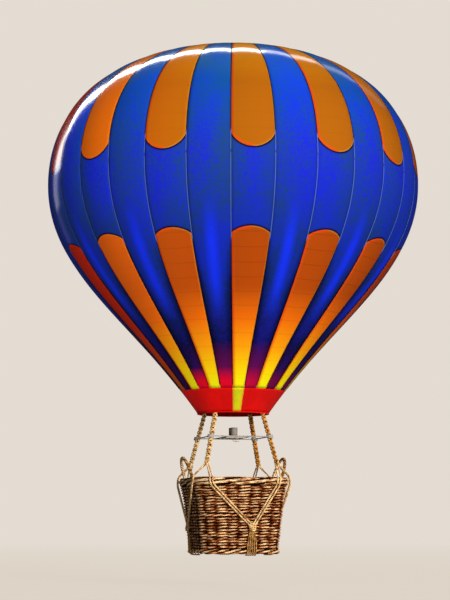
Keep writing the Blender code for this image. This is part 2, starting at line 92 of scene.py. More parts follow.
# Basket, a rounded square in plan
CORNER_SHARE = 0.42
WALL_SECTIONS = ((-12.99, 2.05), (-13.64, 1.92), (-14.91, 1.80), (-15.46, 1.73))
WALL_MIDDLE = 0.065
WALL_TOP = WALL_SECTIONS[0][0]
RIM_TOP = -12.62
RIM_HALF = 2.11
RIM_THICK = 0.30
BASE_HALF = 1.76
BASE_THICK = 0.24
BASE_BOTTOM = -15.84
STAKES = 28
STAKE = 0.018
WEAVER = 0.036
WEAVER_OUT, WEAVER_UP = 0.038, 0.012
WEAVE_WOBBLE = 0.012
WALE_TOP, WALE_BOTTOM = -14.13, -14.30
WEAVE_FOOT = -15.60
UPPER_ROWS, LOWER_ROWS = 10, 11
HANDLE_HALF_SPAN = 0.72
HANDLE_RISE = 0.82
HANDLE_LEAN = 0.26

# Burner and cylinders
CAN_RIB = 0.004
CAN_WALL = 0.006
LEVER_RADIUS = 0.009
STRAP_THICK = 0.006
STRAP_HALF = 0.025

# Turned solids and rods keep an edge sharp above these angles, and points nearer than these are one
TURNED_CREASE = math.radians(40)
ROD_CREASE = math.radians(50)
WELD = 0.00005
GORE_WELD = 0.0002

# The picture
CAMERA_TURN = math.radians(-14.0)
CAMERA_AIM = math.radians(0.258)
CAMERA_TILT = math.radians(7.21)
CAMERA_REACH = 77.53
CAMERA_HEIGHT = -14.755
LENS = 108.2
FLOOR = -17.2
FLOOR_REACH = 900
SUN_SPREAD = math.radians(16)

# For a Mix node of two colours: its input 0 is the share of the colour at 7 over the one at 6
BLEND = {"out": 2, "data_type": "RGBA"}


def colour(code):
    """An sRGB hex colour as the linear one that a shader takes."""
    parts = [int(code[i : i + 2], 16) / 255 for i in (1, 3, 5)]
    linear = [c / 12.92 if c <= 0.04045 else ((c + 0.055) / 1.055) ** 2.4 for c in parts]
    return (*linear, 1.0)


def node(tree, kind, inputs=(), operation=None, out=0, stops=(), **settings):
    """Adds a node with its settings, and with its inputs in order or by name.

    Gives one of its outputs, or the node where out is None. A kind with no Node in it is a shader's, and a
    text that starts with # is a colour.
    """
    made = tree.nodes.new(kind if "Node" in kind else "ShaderNode" + kind)
    if operation:
        made.operation = operation
    for name, value in settings.items():
        setattr(made, name, value)
    for key, value in inputs.items() if isinstance(inputs, dict) else enumerate(inputs):
        if isinstance(value, bpy.types.NodeSocket):
            tree.links.new(value, made.inputs[key])
        else:
            made.inputs[key].default_value = colour(value) if str(value).startswith("#") else value
    for i, (place, code) in enumerate(stops):
        element = made.color_ramp.elements[i] if i < 2 else made.color_ramp.elements.new(1.0)
        element.position = place
        element.color = colour(code)
    return made if out is None else made.outputs[out]


# Shape of the envelope


def bezier(a, b, c, d, share):
    """The point at this share of the curve from a to d, whose handles are b and c."""
    rest = 1 - share
    return rest**3 * a + 3 * rest**2 * share * b + 3 * rest * share**2 * c + share**3 * d


def meridian(steps=160, fineness=400):
    """The outline from crown to mouth: (radius, height) points at equal steps, and its length."""
    rise, run = CROWN_HANDLES
    drop, pull = CONE_HANDLES
    crown, side = Vector((0, CROWN_HEIGHT)), Vector((RADIUS, 0))
    mouth = Vector((MOUTH_RADIUS, -MOUTH_DEPTH))
    lean = Vector((math.sin(MOUTH_LEAN), math.cos(MOUTH_LEAN)))
    above = (crown, Vector((run * RADIUS, CROWN_HEIGHT)), Vector((RADIUS, rise * CROWN_HEIGHT)), side)
    below = (side, Vector((RADIUS, -drop * MOUTH_DEPTH)), mouth + pull * MOUTH_DEPTH * lean, mouth)
    fine = [bezier(*above, i / fineness) for i in range(fineness)]
    fine += [bezier(*below, i / fineness) for i in range(fineness + 1)]
    return evenly(fine, steps)


def evenly(points, steps):
    """Points at equal steps along a line through the given ones, and its length."""
    lengths = [0.0]
    for a, b in zip(points, points[1:]):
        lengths.append(lengths[-1] + (b - a).length)
    made, k = [], 0
    for i in range(steps + 1):
        want = lengths[-1] * i / steps
        while k < len(points) - 2 and lengths[k + 1] < want:
            k += 1
        made.append(points[k].lerp(points[k + 1], (want - lengths[k]) / (lengths[k + 1] - lengths[k])))
    return made, lengths[-1]


OUTLINE, OUTLINE_LENGTH = meridian()


def down_gore(height=None, radius=None):
    """Metres down the gore from the crown, at a height, or near the crown at a radius."""
    for i, (a, b) in enumerate(zip(OUTLINE, OUTLINE[1:])):
        low, high, want = (b.y, a.y, height) if radius is None else (a.x, b.x, radius)
        if low <= want <= high:
            share = (a.y - want) / (a.y - b.y) if radius is None else (want - a.x) / (b.x - a.x)
            return OUTLINE_LENGTH * (i + share) / (len(OUTLINE) - 1)
    return OUTLINE_LENGTH


def polar(radius, angle, height):
    """Angle 0 is the front, -Y, and a positive one turns towards +X."""
    return Vector((radius * math.sin(angle), -radius * math.cos(angle), height))


def soften(points, reach, steps=6):
    """A bent line with each inner corner rounded off over this reach."""
    made = [points[0]]
    for before, corner, after in zip(points, points[1:], points[2:]):
        into, out = corner - before, after - corner
        start = corner - into.normalized() * min(reach, into.length / 2)
        end = corner + out.normalized() * min(reach, out.length / 2)
        for i in range(steps + 1):
            t = i / steps
            made.append(start.lerp(corner, t).lerp(corner.lerp(end, t), t))
    return made + [points[-1]]


def add_object(name, data):
    """A new object with this data, in the scene."""
    made = bpy.data.objects.new(name, data)
    bpy.context.scene.collection.objects.link(made)
    return made


def finished_mesh(piece):
    """A plain mesh of what an object's modifiers and settings make of it."""
    graph = bpy.context.evaluated_depsgraph_get()
    return bpy.data.meshes.new_from_object(piece.evaluated_get(graph), depsgraph=graph)


def path_object(name, paths, cyclic=False):
    """A curve object of straight-sided splines through lists of points."""
    curve = bpy.data.curves.new(name, "CURVE")
    curve.dimensions = "3D"
    for points in paths:
        spline = curve.splines.new("POLY")
        spline.points.add(len(points) - 1)
        for target, point in zip(spline.points, points):
            target.co = (*point, 1.0)
        spline.use_cyclic_u = cyclic
    return add_object(name, curve)


def mesh_piece(name, points, faces, material, smooth=True):
    """A mesh object from points and faces, its normals turned outwards."""
    mesh = bpy.data.meshes.new(name)
    mesh.from_pydata([tuple(p) for p in points], [], faces)
    shape = bmesh.new()
    shape.from_mesh(mesh)
    bmesh.ops.recalc_face_normals(shape, faces=shape.faces)
    shape.to_mesh(mesh)
    shape.free()
    mesh.materials.append(material)
    if smooth:
        mesh.shade_smooth()
    return add_object(name, mesh)


def lathe(name, outline, material, middle=(0, 0, 0), sides=48):
    """A turned solid from a closed outline of (radius, height) points, upright at its middle."""
    points, faces, count = [], [], len(outline)
    for k in range(sides):
        angle = FULL_TURN * k / sides
        cosine, sine = math.cos(angle), math.sin(angle)
        points += [Vector(middle) + Vector((r * cosine, r * sine, z)) for r, z in outline]
        a, b = count * k, count * ((k + 1) % sides)
        faces += [(a + i, b + i, b + (i + 1) % count, a + (i + 1) % count) for i in range(count)]
    made = mesh_piece(name, points, faces, material)
    made.data.set_sharp_from_angle(angle=TURNED_CREASE)
    return weld(made)


def ring(inner, outer, low, high):
    """The outline of a plain ring, for a turned solid."""
    return [(inner, low), (outer, low), (outer, high), (inner, high)]


def weld(piece):
    """Merges points that share a place, such as those of a turned solid on its axis."""
    shape = bmesh.new()
    shape.from_mesh(piece.data)
    bmesh.ops.remove_doubles(shape, verts=shape.verts, dist=WELD)
    bmesh.ops.dissolve_degenerate(shape, edges=shape.edges, dist=WELD)
    bmesh.ops.recalc_face_normals(shape, faces=shape.faces)
    shape.to_mesh(piece.data)
    shape.free()
    return piece


# Geometry Nodes


def new_tree(name, inputs):
    """A Geometry Nodes tree with named inputs: (tree, the outputs of its input node)."""
    tree = bpy.data.node_groups.new(name, "GeometryNodeTree")
    for way in ("INPUT", "OUTPUT"):
        tree.interface.new_socket("Geometry", in_out=way, socket_type="NodeSocketGeometry")
    for label, kind, value in (*inputs, ("Material", "Material", None)):
        socket = tree.interface.new_socket(label, in_out="INPUT", socket_type="NodeSocket" + kind)
        if value is not None:
            socket.default_value = value
    return tree, node(tree, "NodeGroupInput", out=None).outputs


def close_tree(tree, given, geometry):
    """Ends a tree in Realize Instances and Set Material."""
    real = node(tree, "GeometryNodeRealizeInstances", (geometry,))
    dressed = node(tree, "GeometryNodeSetMaterial", {"Geometry": real, "Material": given["Material"]})
    node(tree, "NodeGroupOutput", (dressed,), out=None)
    return tree


def grow(source, tree, name, **values):
    """Runs a tree on a curve object, and gives its result as a plain mesh object of this name."""
    modifier = source.modifiers.new("nodes", "NODES")
    modifier.node_group = tree
    for item in tree.interface.items_tree:
        key = item.name.replace(" ", "_").lower()
        if item.in_out == "INPUT" and key in values:
            modifier[item.identifier] = values[key]
    mesh = finished_mesh(source)
    source.modifiers.clear()
    mesh.name = name
    return add_object(name, mesh)


def wind(tree, name, paths, cyclic=False, **values):
    """Runs a tree along lists of points: the mesh object of this name."""
    path = path_object(name + "_path", paths, cyclic)
    piece = grow(path, tree, name, **values)
    bpy.data.objects.remove(path)
    return piece


def gore_tree():
    """A grid bent to the meridian that it is given, over one or more gores, with its cloth coordinates."""
    inputs = (
        ("Gore", "Float", 0.0),
        ("Span", "Float", 1.0),
        ("Columns", "Int", 13),
        ("Rows", "Int", 120),
        ("Bulge", "Float", GORE_BULGE),
        ("Lift", "Float", 0.0),
        ("Start", "Float", 0.0),
        ("End", "Float", 1.0),
        ("Weld", "Float", GORE_WELD),
    )
    tree, given = new_tree("gore_cloth", inputs)
    meridian_curve = given["Geometry"]
    sizes = {"Size X": 1.0, "Size Y": 1.0, "Vertices X": given["Columns"], "Vertices Y": given["Rows"]}
    grid = node(tree, "GeometryNodeMeshGrid", sizes)
    place = node(tree, "SeparateXYZ", (node(tree, "GeometryNodeInputPosition"),), out=None).outputs
    along = node(tree, "MapRange", (place["Y"], -0.5, 0.5, given["Start"], given["End"]))
    wanted = {"Curves": meridian_curve, "Factor": along}
    sample = node(tree, "GeometryNodeSampleCurve", wanted, out=None, mode="FACTOR").outputs
    at = node(tree, "SeparateXYZ", (sample["Position"],), out=None).outputs
    way = node(tree, "SeparateXYZ", (sample["Tangent"],), out=None).outputs
    gores = node(tree, "Math", (place["X"], given["Span"]), "MULTIPLY")

    # Where the point is in its own gore: 0 in the middle, 1 on either seam
    across = node(tree, "Math", (gores, 0.5, -0.5), "WRAP")
    to_seam = node(tree, "Math", (across,), "ABSOLUTE")
    to_seam = node(tree, "Math", (to_seam, 2.0), "MULTIPLY")
    arch = node(tree, "Math", (to_seam, 2.0), "POWER")
    arch = node(tree, "Math", (0.5, arch), "SUBTRACT")
    fade = node(tree, "MapRange", (at["X"], BULGE_FROM, BULGE_WHOLE))
    offset = node(tree, "Math", (arch, given["Bulge"]), "MULTIPLY")
    offset = node(tree, "Math", (offset, fade, given["Lift"]), "MULTIPLY_ADD")

    # The point on the meridian, moved out by the bulge and carried round the axis
    out_x = node(tree, "Math", (offset, way["Z"]), "MULTIPLY")
    radius = node(tree, "Math", (at["X"], out_x), "SUBTRACT")
    height = node(tree, "Math", (offset, way["X"], at["Z"]), "MULTIPLY_ADD")
    angle = node(tree, "Math", (gores, given["Gore"]), "ADD")
    angle = node(tree, "Math", (angle, FULL_TURN / GORES, GORE_TURN), "MULTIPLY_ADD")
    front = node(tree, "CombineXYZ", (0.0, -1.0, 0.0))
    turned = node(tree, "VectorRotate", {"Vector": front, "Angle": angle}, rotation_type="Z_AXIS")
    level = node(tree, "VectorMath", {"Vector": turned, "Scale": radius}, "SCALE")
    lifted = node(tree, "CombineXYZ", (0.0, 0.0, height))
    spot = node(tree, "VectorMath", (level, lifted), "ADD")

    # Cloth coordinates: metres round the envelope, metres down it, and metres to the nearest seam
    half = node(tree, "Math", (at["X"], math.pi / GORES), "MULTIPLY")
    around = node(tree, "Math", (gores, half), "MULTIPLY")
    around = node(tree, "Math", (around, 2.0), "MULTIPLY")
    long = node(tree, "GeometryNodeCurveLength", (meridian_curve,))
    down = node(tree, "Math", (along, long), "MULTIPLY")
    cloth = node(tree, "CombineXYZ", (around, down, 0.0))
    share = node(tree, "Math", (1.0, to_seam), "SUBTRACT")
    seam = node(tree, "Math", (share, half), "MULTIPLY")

    # Which way the cloth faces where it is held taut, with no bulge
    outwards = node(tree, "Math", (way["Z"], -1.0), "MULTIPLY")
    outwards = node(tree, "VectorMath", {"Vector": turned, "Scale": outwards}, "SCALE")
    upwards = node(tree, "CombineXYZ", (0.0, 0.0, way["X"]))
    taut = node(tree, "VectorMath", (outwards, upwards), "ADD")
    sheet = grid
    for name, value, kind, domain in (
        ("cloth", cloth, "FLOAT2", "CORNER"),
        ("to_seam", seam, "FLOAT", "POINT"),
        ("taut_way", taut, "FLOAT_VECTOR", "POINT"),
    ):
        mark = {"Geometry": sheet, "Name": name, "Value": value}
        sheet = node(tree, "GeometryNodeStoreNamedAttribute", mark, data_type=kind, domain=domain)
    bent = node(tree, "GeometryNodeSetPosition", {"Geometry": sheet, "Position": spot})
    whole = node(tree, "GeometryNodeMergeByDistance", {"Geometry": bent, "Distance": given["Weld"]})
    return close_tree(tree, given, node(tree, "GeometryNodeSetShadeSmooth", (whole,)))


def strand_tree():
    """Strands that wind round each path they are given. Fold keeps each on its own side, as in a knot."""
    inputs = (
        ("Strands", "Int", 2),
        ("Turns", "Float", 10.0),
        ("Out", "Float", 0.03),
        ("Up", "Float", 0.03),
        ("Fold", "Float", 0.0),
        ("Points", "Int", 200),
        ("Strand Radius", "Float", 0.03),
        ("Sides", "Int", 6),
        ("Reference", "Vector", (0.0, 0.0, 1.0)),
    )
    tree, given = new_tree("wound_strands", inputs)
    evened = node(tree, "GeometryNodeResampleCurve", {"Curve": given["Geometry"], "Count": given["Points"]})
    doubled = {"Geometry": evened, "Amount": given["Strands"]}
    copies = node(tree, "GeometryNodeDuplicateElements", doubled, out=None, domain="SPLINE").outputs
    share = node(tree, "GeometryNodeSplineParameter")
    start = node(tree, "Math", (copies["Duplicate Index"], given["Strands"]), "DIVIDE")
    turn = node(tree, "Math", (share, given["Turns"], start), "MULTIPLY_ADD")
    angle = node(tree, "Math", (turn, FULL_TURN), "MULTIPLY")

    # Across the path: outwards, and upwards or towards the reference
    tangent = node(tree, "GeometryNodeInputTangent")
    outward = node(tree, "VectorMath", (tangent, given["Reference"]), "CROSS_PRODUCT")
    outward = node(tree, "VectorMath", (outward,), "NORMALIZE")
    upward = node(tree, "VectorMath", (outward, tangent), "CROSS_PRODUCT")
    cosine = node(tree, "Math", (angle,), "COSINE")
    out = node(tree, "Math", (cosine, given["Out"]), "MULTIPLY")

    # A twist goes all the way round. A folded strand comes back on the side where it started
    sine = node(tree, "Math", (angle,), "SINE")
    side = node(tree, "Math", (start, FULL_TURN), "MULTIPLY")
    side = node(tree, "Math", (side,), "COSINE")
    bent = node(tree, "Math", (sine,), "ABSOLUTE")
    bent = node(tree, "Math", (bent, side), "MULTIPLY")
    wave = node(tree, "Mix", {"Factor": given["Fold"], "A": sine, "B": bent})
    up = node(tree, "Math", (wave, given["Up"]), "MULTIPLY")
    out_way = node(tree, "VectorMath", {"Vector": outward, "Scale": out}, "SCALE")
    up_way = node(tree, "VectorMath", {"Vector": upward, "Scale": up}, "SCALE")
    shift = node(tree, "VectorMath", (out_way, up_way), "ADD")
    line = node(tree, "GeometryNodeSetPosition", {"Geometry": copies[0], "Offset": shift})

    # For the finish: which strand it is, and how proud it stands
    strand = node(tree, "Math", (start,), "FRACT")
    for name, value in (("strand", strand), ("proud", cosine)):
        mark = {"Geometry": line, "Name": name, "Value": value}
        line = node(tree, "GeometryNodeStoreNamedAttribute", mark, data_type="FLOAT", domain="POINT")
    sizes = {"Resolution": given["Sides"], "Radius": given["Strand Radius"]}
    section = node(tree, "GeometryNodeCurvePrimitiveCircle", sizes)
    swept = {"Curve": line, "Profile Curve": section, "Fill Caps": True}
    tube = node(tree, "GeometryNodeCurveToMesh", swept)
    return close_tree(tree, given, node(tree, "GeometryNodeSetShadeSmooth", (tube,)))


def tape_tree():
    """One flat tape along the path it is given, and copies of it turned round the Z axis."""
    inputs = (
        ("Count", "Int", GORES),
        ("First Turn", "Float", 0.0),
        ("Width", "Float", TAPE_WIDTH),
        ("Thickness", "Float", TAPE_THICK),
    )
    tree, given = new_tree("turned_tapes", inputs)
    sizes = {"Width": given["Width"], "Height": given["Thickness"]}
    section = node(tree, "GeometryNodeCurvePrimitiveQuadrilateral", sizes, mode="RECTANGLE")
    upright = node(tree, "GeometryNodeSetCurveNormal", (given["Geometry"],), mode="Z_UP")
    swept = {"Curve": upright, "Profile Curve": section, "Fill Caps": True}
    tape = node(tree, "GeometryNodeCurveToMesh", swept)
    places = node(tree, "GeometryNodeMeshLine", {"Count": given["Count"], "Offset": (0.0, 0.0, 0.0)})
    number = node(tree, "GeometryNodeInputIndex")
    step = node(tree, "Math", (FULL_TURN, given["Count"]), "DIVIDE")
    turn = node(tree, "Math", (number, step, given["First Turn"]), "MULTIPLY_ADD")
    rotation = node(tree, "CombineXYZ", (0.0, 0.0, turn))
    round_it = {"Points": places, "Instance": tape, "Rotation": rotation}
    return close_tree(tree, given, node(tree, "GeometryNodeInstanceOnPoints", round_it))


# Finishes


def finish(name, roughness, metallic=0.0, **sockets):
    """A new material with a Principled shader: (material, its tree, Object coordinates)."""
    made = bpy.data.materials.new(name)
    made.use_nodes = True
    shader = made.node_tree.nodes["Principled BSDF"]
    shader.inputs["Roughness"].default_value = roughness
    shader.inputs["Metallic"].default_value = metallic
    for socket, value in sockets.items():
        shader.inputs[socket.replace("_", " ")].default_value = value
    return made, made.node_tree, node(made.node_tree, "TexCoord", out="Object")


def close_finish(made, body, height, strength, distance):
    """Links a finish's colour, and its relief of this depth in metres, and gives the material."""
    tree = made.node_tree
    shader = tree.nodes["Principled BSDF"]
    tree.links.new(body, shader.inputs["Base Color"])
    relief = node(tree, "Bump", {"Height": height, "Strength": strength, "Distance": distance})
    tree.links.new(relief, shader.inputs["Normal"])
    return made


def blue_nylon(tree, spot, down, to_seam):
    """The blue of the gores, strong in patches, with painted shade: duller towards the seams, stronger down
    the middle.
    """
    skirt = down_gore(height=SKIRT_TOP)
    belt = down_gore(height=UPPER_TIP_HEIGHT) / skirt
    place = node(tree, "MapRange", (down, 0.0, skirt))
    stops = ((0.20, "#3a74aa"), (0.36, "#104e96"), (belt, "#1c4080"), (0.72, "#122c70"), (0.90, "#0a0e40"))
    dull = node(tree, "ValToRGB", (place,), stops=stops)
    stops = ((0.20, "#1e62c8"), (0.40, "#1034dc"), (belt, "#1822d2"), (0.72, "#1028b0"), (0.92, "#180e6c"))
    strong = node(tree, "ValToRGB", (place,), stops=stops)
    # Patches 1.8 m wide and 5.2 m high, and the wear of the coating, 125 mm across so that it shows
    drawn = node(tree, "Mapping", {"Vector": spot, "Scale": (1.0, 1.0, 0.35)})
    patches = node(tree, "TexNoise", {"Vector": drawn, "Scale": 0.55, "Detail": 2.0, "Roughness": 0.5})
    grain = node(tree, "TexNoise", {"Vector": spot, "Scale": 8.0, "Detail": 2.0, "Roughness": 0.7})
    # The gores' bulge as painted shade: duller towards the seams, stronger down the middle
    middle = node(tree, "MapRange", (to_seam, 0.0, 0.8, -0.05, 0.05))
    tone = node(tree, "Math", (grain, 1.05, -0.525), "MULTIPLY_ADD")
    for more in (patches, middle):
        tone = node(tree, "Math", (tone, more), "ADD")
    share = node(tree, "MapRange", (tone, 0.32, 0.74))
    return node(tree, "Mix", {0: share, 6: dull, 7: strong}, **BLEND)


def beyond_end(tree, across, down, middle, radius, way):
    """Metres outside a petal with a round end of this radius, down the gore, way 1, or up it, way -1."""
    past = node(tree, "Math", (down, middle), "SUBTRACT")
    past = node(tree, "Math", (past, way), "MULTIPLY")
    past = node(tree, "Math", (past, 0.0), "MAXIMUM")
    arm = node(tree, "CombineXYZ", (across, past, 0.0))
    reach = node(tree, "VectorMath", (arm,), "LENGTH", out="Value")
    return node(tree, "Math", (reach, radius), "SUBTRACT")


def lay_petals(tree, body, across, down, to_seam, sideways, seam):
    """The two round-ended petals of a gore over its blue, in oranges that change down the gore."""
    upper_middle = down_gore(height=UPPER_TIP_HEIGHT) - UPPER_END_RADIUS
    lower_tip = down_gore(height=LOWER_TIP_HEIGHT)
    skirt = down_gore(height=SKIRT_TOP)
    upper = beyond_end(tree, across, down, upper_middle, UPPER_END_RADIUS, 1)
    lower = beyond_end(tree, across, down, lower_tip + LOWER_END_RADIUS, LOWER_END_RADIUS, -1)
    beyond = node(tree, "Math", (upper, lower), "MINIMUM")
    inside = node(tree, "Math", (beyond, -1.0), "MULTIPLY")
    inside = node(tree, "Math", (inside, to_seam), "MINIMUM")
    upper_place = node(tree, "MapRange", (down, 0.0, upper_middle))
    stops = ((0.0, "#f8a404"), (0.45, "#f49c06"), (0.62, "#c87808"), (0.80, "#ac5e08"))
    upper_orange = node(tree, "ValToRGB", (upper_place,), stops=stops)
    lower_place = node(tree, "MapRange", (down, lower_tip, skirt))
    # The lower petals turn yellow towards the skirt: partly their own colour, partly a painted glow of the
    # burner through the cloth
    stops = ((0.0, "#ac4608"), (0.35, "#b64a08"), (0.55, "#f27006"))
    stops += ((0.74, "#ffa408"), (0.89, "#fcd804"), (1.0, "#eef00a"))
    lower_orange_and_glow = node(tree, "ValToRGB", (lower_place,), stops=stops)
    is_lower = node(tree, "Math", (down, lower_tip - 1.0), "GREATER_THAN")
    orange = node(tree, "Mix", {0: is_lower, 6: upper_orange, 7: lower_orange_and_glow}, **BLEND)

    # A red rim on a petal's left and a paler one on its right, both painted edge light, and the faint sewn
    # seams across it
    on_right = node(tree, "MapRange", (across, -0.1, 0.1))
    on_left = node(tree, "Math", (1.0, on_right), "SUBTRACT")
    left_rim_light = node(tree, "MapRange", (inside, 0.04, 0.16, 0.8, 0.0))
    left_rim_light = node(tree, "Math", (left_rim_light, on_left), "MULTIPLY")
    right_rim_light = node(tree, "MapRange", (inside, 0.02, 0.08, 0.6, 0.0))
    right_rim_light = node(tree, "Math", (right_rim_light, on_right), "MULTIPLY")
    faint = node(tree, "MapRange", (lower_place, 0.3, 0.8, 0.24, 0.08))
    line = node(tree, "Mix", {0: is_lower, 2: 0.06, 3: faint}, data_type="FLOAT")
    line = node(tree, "Math", (seam, line), "MULTIPLY")
    for share, code in ((left_rim_light, "#e0480e"), (right_rim_light, "#c88a30"), (line, "#4a1604")):
        orange = node(tree, "Mix", {0: share, 6: orange, 7: code}, **BLEND)

    # Painted light and shade at the envelope's sides: towards the left the petals turn to a warmer orange
    # above their low ends, and to red far out, and far to the right they redden a little
    warm = node(tree, "MapRange", (sideways, -0.45, -0.85, 0.0, 0.6))
    warm = node(tree, "Mix", {0: warm, 6: orange, 7: "#f46c10"}, **BLEND)
    low_end = node(tree, "MapRange", (down, skirt - 4.5, skirt - 3.0))
    orange = node(tree, "Mix", {0: low_end, 6: warm, 7: orange}, **BLEND)
    left = node(tree, "MapRange", (sideways, -0.925, -0.975, 0.0, 0.9))
    right = node(tree, "MapRange", (sideways, 0.84, 0.92, 0.0, 0.35))
    red = node(tree, "Math", (left, right), "ADD")
    orange = node(tree, "Mix", {0: red, 6: orange, 7: "#b41408"}, **BLEND)

    # Shade on the blue beside the petal, the petal, and its dark outline
    shade = node(tree, "MapRange", (beyond, 0.0, 0.12, 0.5, 0.0))
    is_petal = node(tree, "MapRange", (beyond, -0.006, 0.006, 1.0, 0.0))
    outline = node(tree, "Math", (beyond, -0.02), "ADD")
    outline = node(tree, "Math", (outline,), "ABSOLUTE")
    outline = node(tree, "MapRange", (outline, 0.02, 0.04, 0.9, 0.0))
    for share, over in ((shade, "#040418"), (is_petal, orange), (outline, "#0c0306")):
        body = node(tree, "Mix", {0: share, 6: body, 7: over}, **BLEND)
    return body


def lay_streak(tree, body, across, down, to_seam, sideways):
    """Painted light over a plain gore's blue: a highlight streak, shade beside its seams, and a purple and
    red glow at its foot.
    """
    lower_tip = down_gore(height=LOWER_TIP_HEIGHT)
    skirt = down_gore(height=SKIRT_TOP)

    # A painted highlight: the taut middle of the lower gore catches the light in a long streak
    off_line = node(tree, "Math", (across,), "ABSOLUTE")
    streak = node(tree, "MapRange", (off_line, 0.06, 0.34, 1.0, 0.0))
    fade_in = node(tree, "MapRange", (down, lower_tip - 1.2, lower_tip + 0.6))
    fade_out = node(tree, "MapRange", (down, lower_tip + 2.6, lower_tip + 4.4, 0.75, 0.0))
    for share in (fade_in, fade_out):
        streak = node(tree, "Math", (streak, share), "MULTIPLY")

    # Beside the petals the seam lies in painted shade; above the skirt a painted glow of the burner turns
    # the blue purple, then red, less towards the sides
    beside = node(tree, "MapRange", (to_seam, 0.02, 0.26, 0.8, 0.0))
    beside_petals = node(tree, "MapRange", (down, lower_tip + 0.3, lower_tip + 2.5))
    beside = node(tree, "Math", (beside, beside_petals), "MULTIPLY")
    off_middle = node(tree, "Math", (sideways, 0.14), "ADD")
    off_middle = node(tree, "Math", (off_middle,), "ABSOLUTE")
    purple = node(tree, "MapRange", (down, skirt - 2.4, skirt - 0.6, 0.0, 0.85))
    near = node(tree, "MapRange", (off_middle, 0.25, 0.6, 1.0, 0.12))
    purple = node(tree, "Math", (purple, near), "MULTIPLY")
    red = node(tree, "MapRange", (down, skirt - 1.05, skirt - 0.35))
    less_right = node(tree, "MapRange", (sideways, -0.4, 0.5, 1.0, 0.15))
    less_left = node(tree, "MapRange", (sideways, -0.93, -0.80))
    for share in (less_right, less_left):
        red = node(tree, "Math", (red, share), "MULTIPLY")
    for share, code in ((streak, "#1232ff"), (beside, "#030310"), (purple, "#74084a"), (red, "#e00424")):
        body = node(tree, "Mix", {0: share, 6: body, 7: code}, **BLEND)
    return body


def gore_finish(name, petals):
    """Polyurethane-coated ripstop nylon: strong body colour under a thin coat that gives one hard glint."""
    coat = {"Coat_Weight": 1.0, "Coat_IOR": 1.65, "Coat_Roughness": 0.13}
    made, tree, spot = finish(name, 0.6, Specular_IOR_Level=0.0, **coat)
    cloth = node(tree, "UVMap", uv_map="cloth")
    parts = node(tree, "SeparateXYZ", (cloth,), out=None).outputs
    across, down = parts["X"], parts["Y"]
    to_seam = node(tree, "Attribute", out="Fac", attribute_name="to_seam")
    body = blue_nylon(tree, spot, down, to_seam)
    level = node(tree, "VectorMath", (spot, (1.0, 1.0, 0.0)), "MULTIPLY")
    level = node(tree, "VectorMath", (level,), "NORMALIZE")
    sideways = node(tree, "SeparateXYZ", (level,), out="X")

    # Sewn seams across the gore, one panel apart
    panel = node(tree, "Math", (down, SEAM_SPACING / 2, -SEAM_SPACING / 2), "WRAP")
    panel = node(tree, "Math", (panel,), "ABSOLUTE")
    seam = node(tree, "MapRange", (panel, 0.010, 0.026, 1.0, 0.0))
    if petals:
        body = lay_petals(tree, body, across, down, to_seam, sideways, seam)
    else:
        body = lay_streak(tree, body, across, down, to_seam, sideways)

    # Puckers 140 mm apart down the gore, and the ripstop's squares, ten times their 5 mm so that they show
    drawn = node(tree, "Mapping", {"Vector": cloth, "Scale": (1.0, 3.0, 1.0)})
    puckers = node(tree, "TexNoise", {"Vector": drawn, "Scale": 2.4, "Detail": 2.0})
    weave = {"Vector": cloth, "Scale": 1.0, "Mortar Size": 0.004, "Brick Width": 0.05, "Row Height": 0.05}
    squares = node(tree, "TexBrick", weave, out="Fac", offset=0.0)
    height = node(tree, "Math", (seam, 0.4, puckers), "MULTIPLY_ADD")
    height = node(tree, "Math", (squares, 0.05, height), "MULTIPLY_ADD")
    taut = node(tree, "Attribute", out="Vector", attribute_name="taut_way")
    tree.links.new(taut, tree.nodes["Principled BSDF"].inputs["Coat Normal"])
    return close_finish(made, body, height, 0.25, 0.03)


def skirt_finish(name, code, dark, edge, edge_width, edge_share):
    """Flame-resistant aramid cloth: a duller, heavier weave than the nylon above it."""
    made, tree, spot = finish(name, 0.7, Specular_IOR_Level=0.15)
    cloth = node(tree, "UVMap", uv_map="cloth")
    to_seam = node(tree, "Attribute", out="Fac", attribute_name="to_seam")
    # Darker patches about 0.6 m wide
    drawn = node(tree, "Mapping", {"Vector": spot, "Scale": (1.0, 1.0, 0.3)})
    tone = node(tree, "TexNoise", {"Vector": drawn, "Scale": 1.6, "Detail": 4.0})
    tone = node(tree, "MapRange", (tone, 0.3, 0.7))
    body = node(tree, "Mix", {0: tone, 6: dark, 7: code}, **BLEND)
    line = node(tree, "MapRange", (to_seam, 0.0, edge_width, edge_share, 0.0))
    body = node(tree, "Mix", {0: line, 6: body, 7: edge}, **BLEND)
    # Folds about 170 mm apart, which run down the cloth
    drawn = node(tree, "Mapping", {"Vector": cloth, "Scale": (4.0, 0.7, 1.0)})
    folds = node(tree, "TexNoise", {"Vector": drawn, "Scale": 1.5, "Detail": 2.0})
    return close_finish(made, body, folds, 0.3, 0.03)


def tape_finish():
    """Woven polyester tape: pale where it crosses the belt, and nearly black beside the petals, which is
    painted shade.
    """
    made, tree, spot = finish("woven_polyester_tape", 0.75, Specular_IOR_Level=0.2)
    height = node(tree, "SeparateXYZ", (spot,), out="Z")
    # Painted shade: the tape is nearly black beside the petals
    above = node(tree, "MapRange", (height, UPPER_TIP_HEIGHT + 0.60, UPPER_TIP_HEIGHT + 0.75))
    below = node(tree, "MapRange", (height, LOWER_TIP_HEIGHT - 0.55, LOWER_TIP_HEIGHT - 0.40, 1.0, 0.0))
    beside = node(tree, "Math", (above, below), "ADD")
    body = node(tree, "Mix", {0: beside, 6: "#506cba", 7: "#0a0610"}, **BLEND)
    # The weave's threads are about 1 mm. This is 25 mm, so that it shows
    fibres = node(tree, "TexNoise", {"Vector": spot, "Scale": 40.0})
    return close_finish(made, body, fibres, 0.3, 0.004)


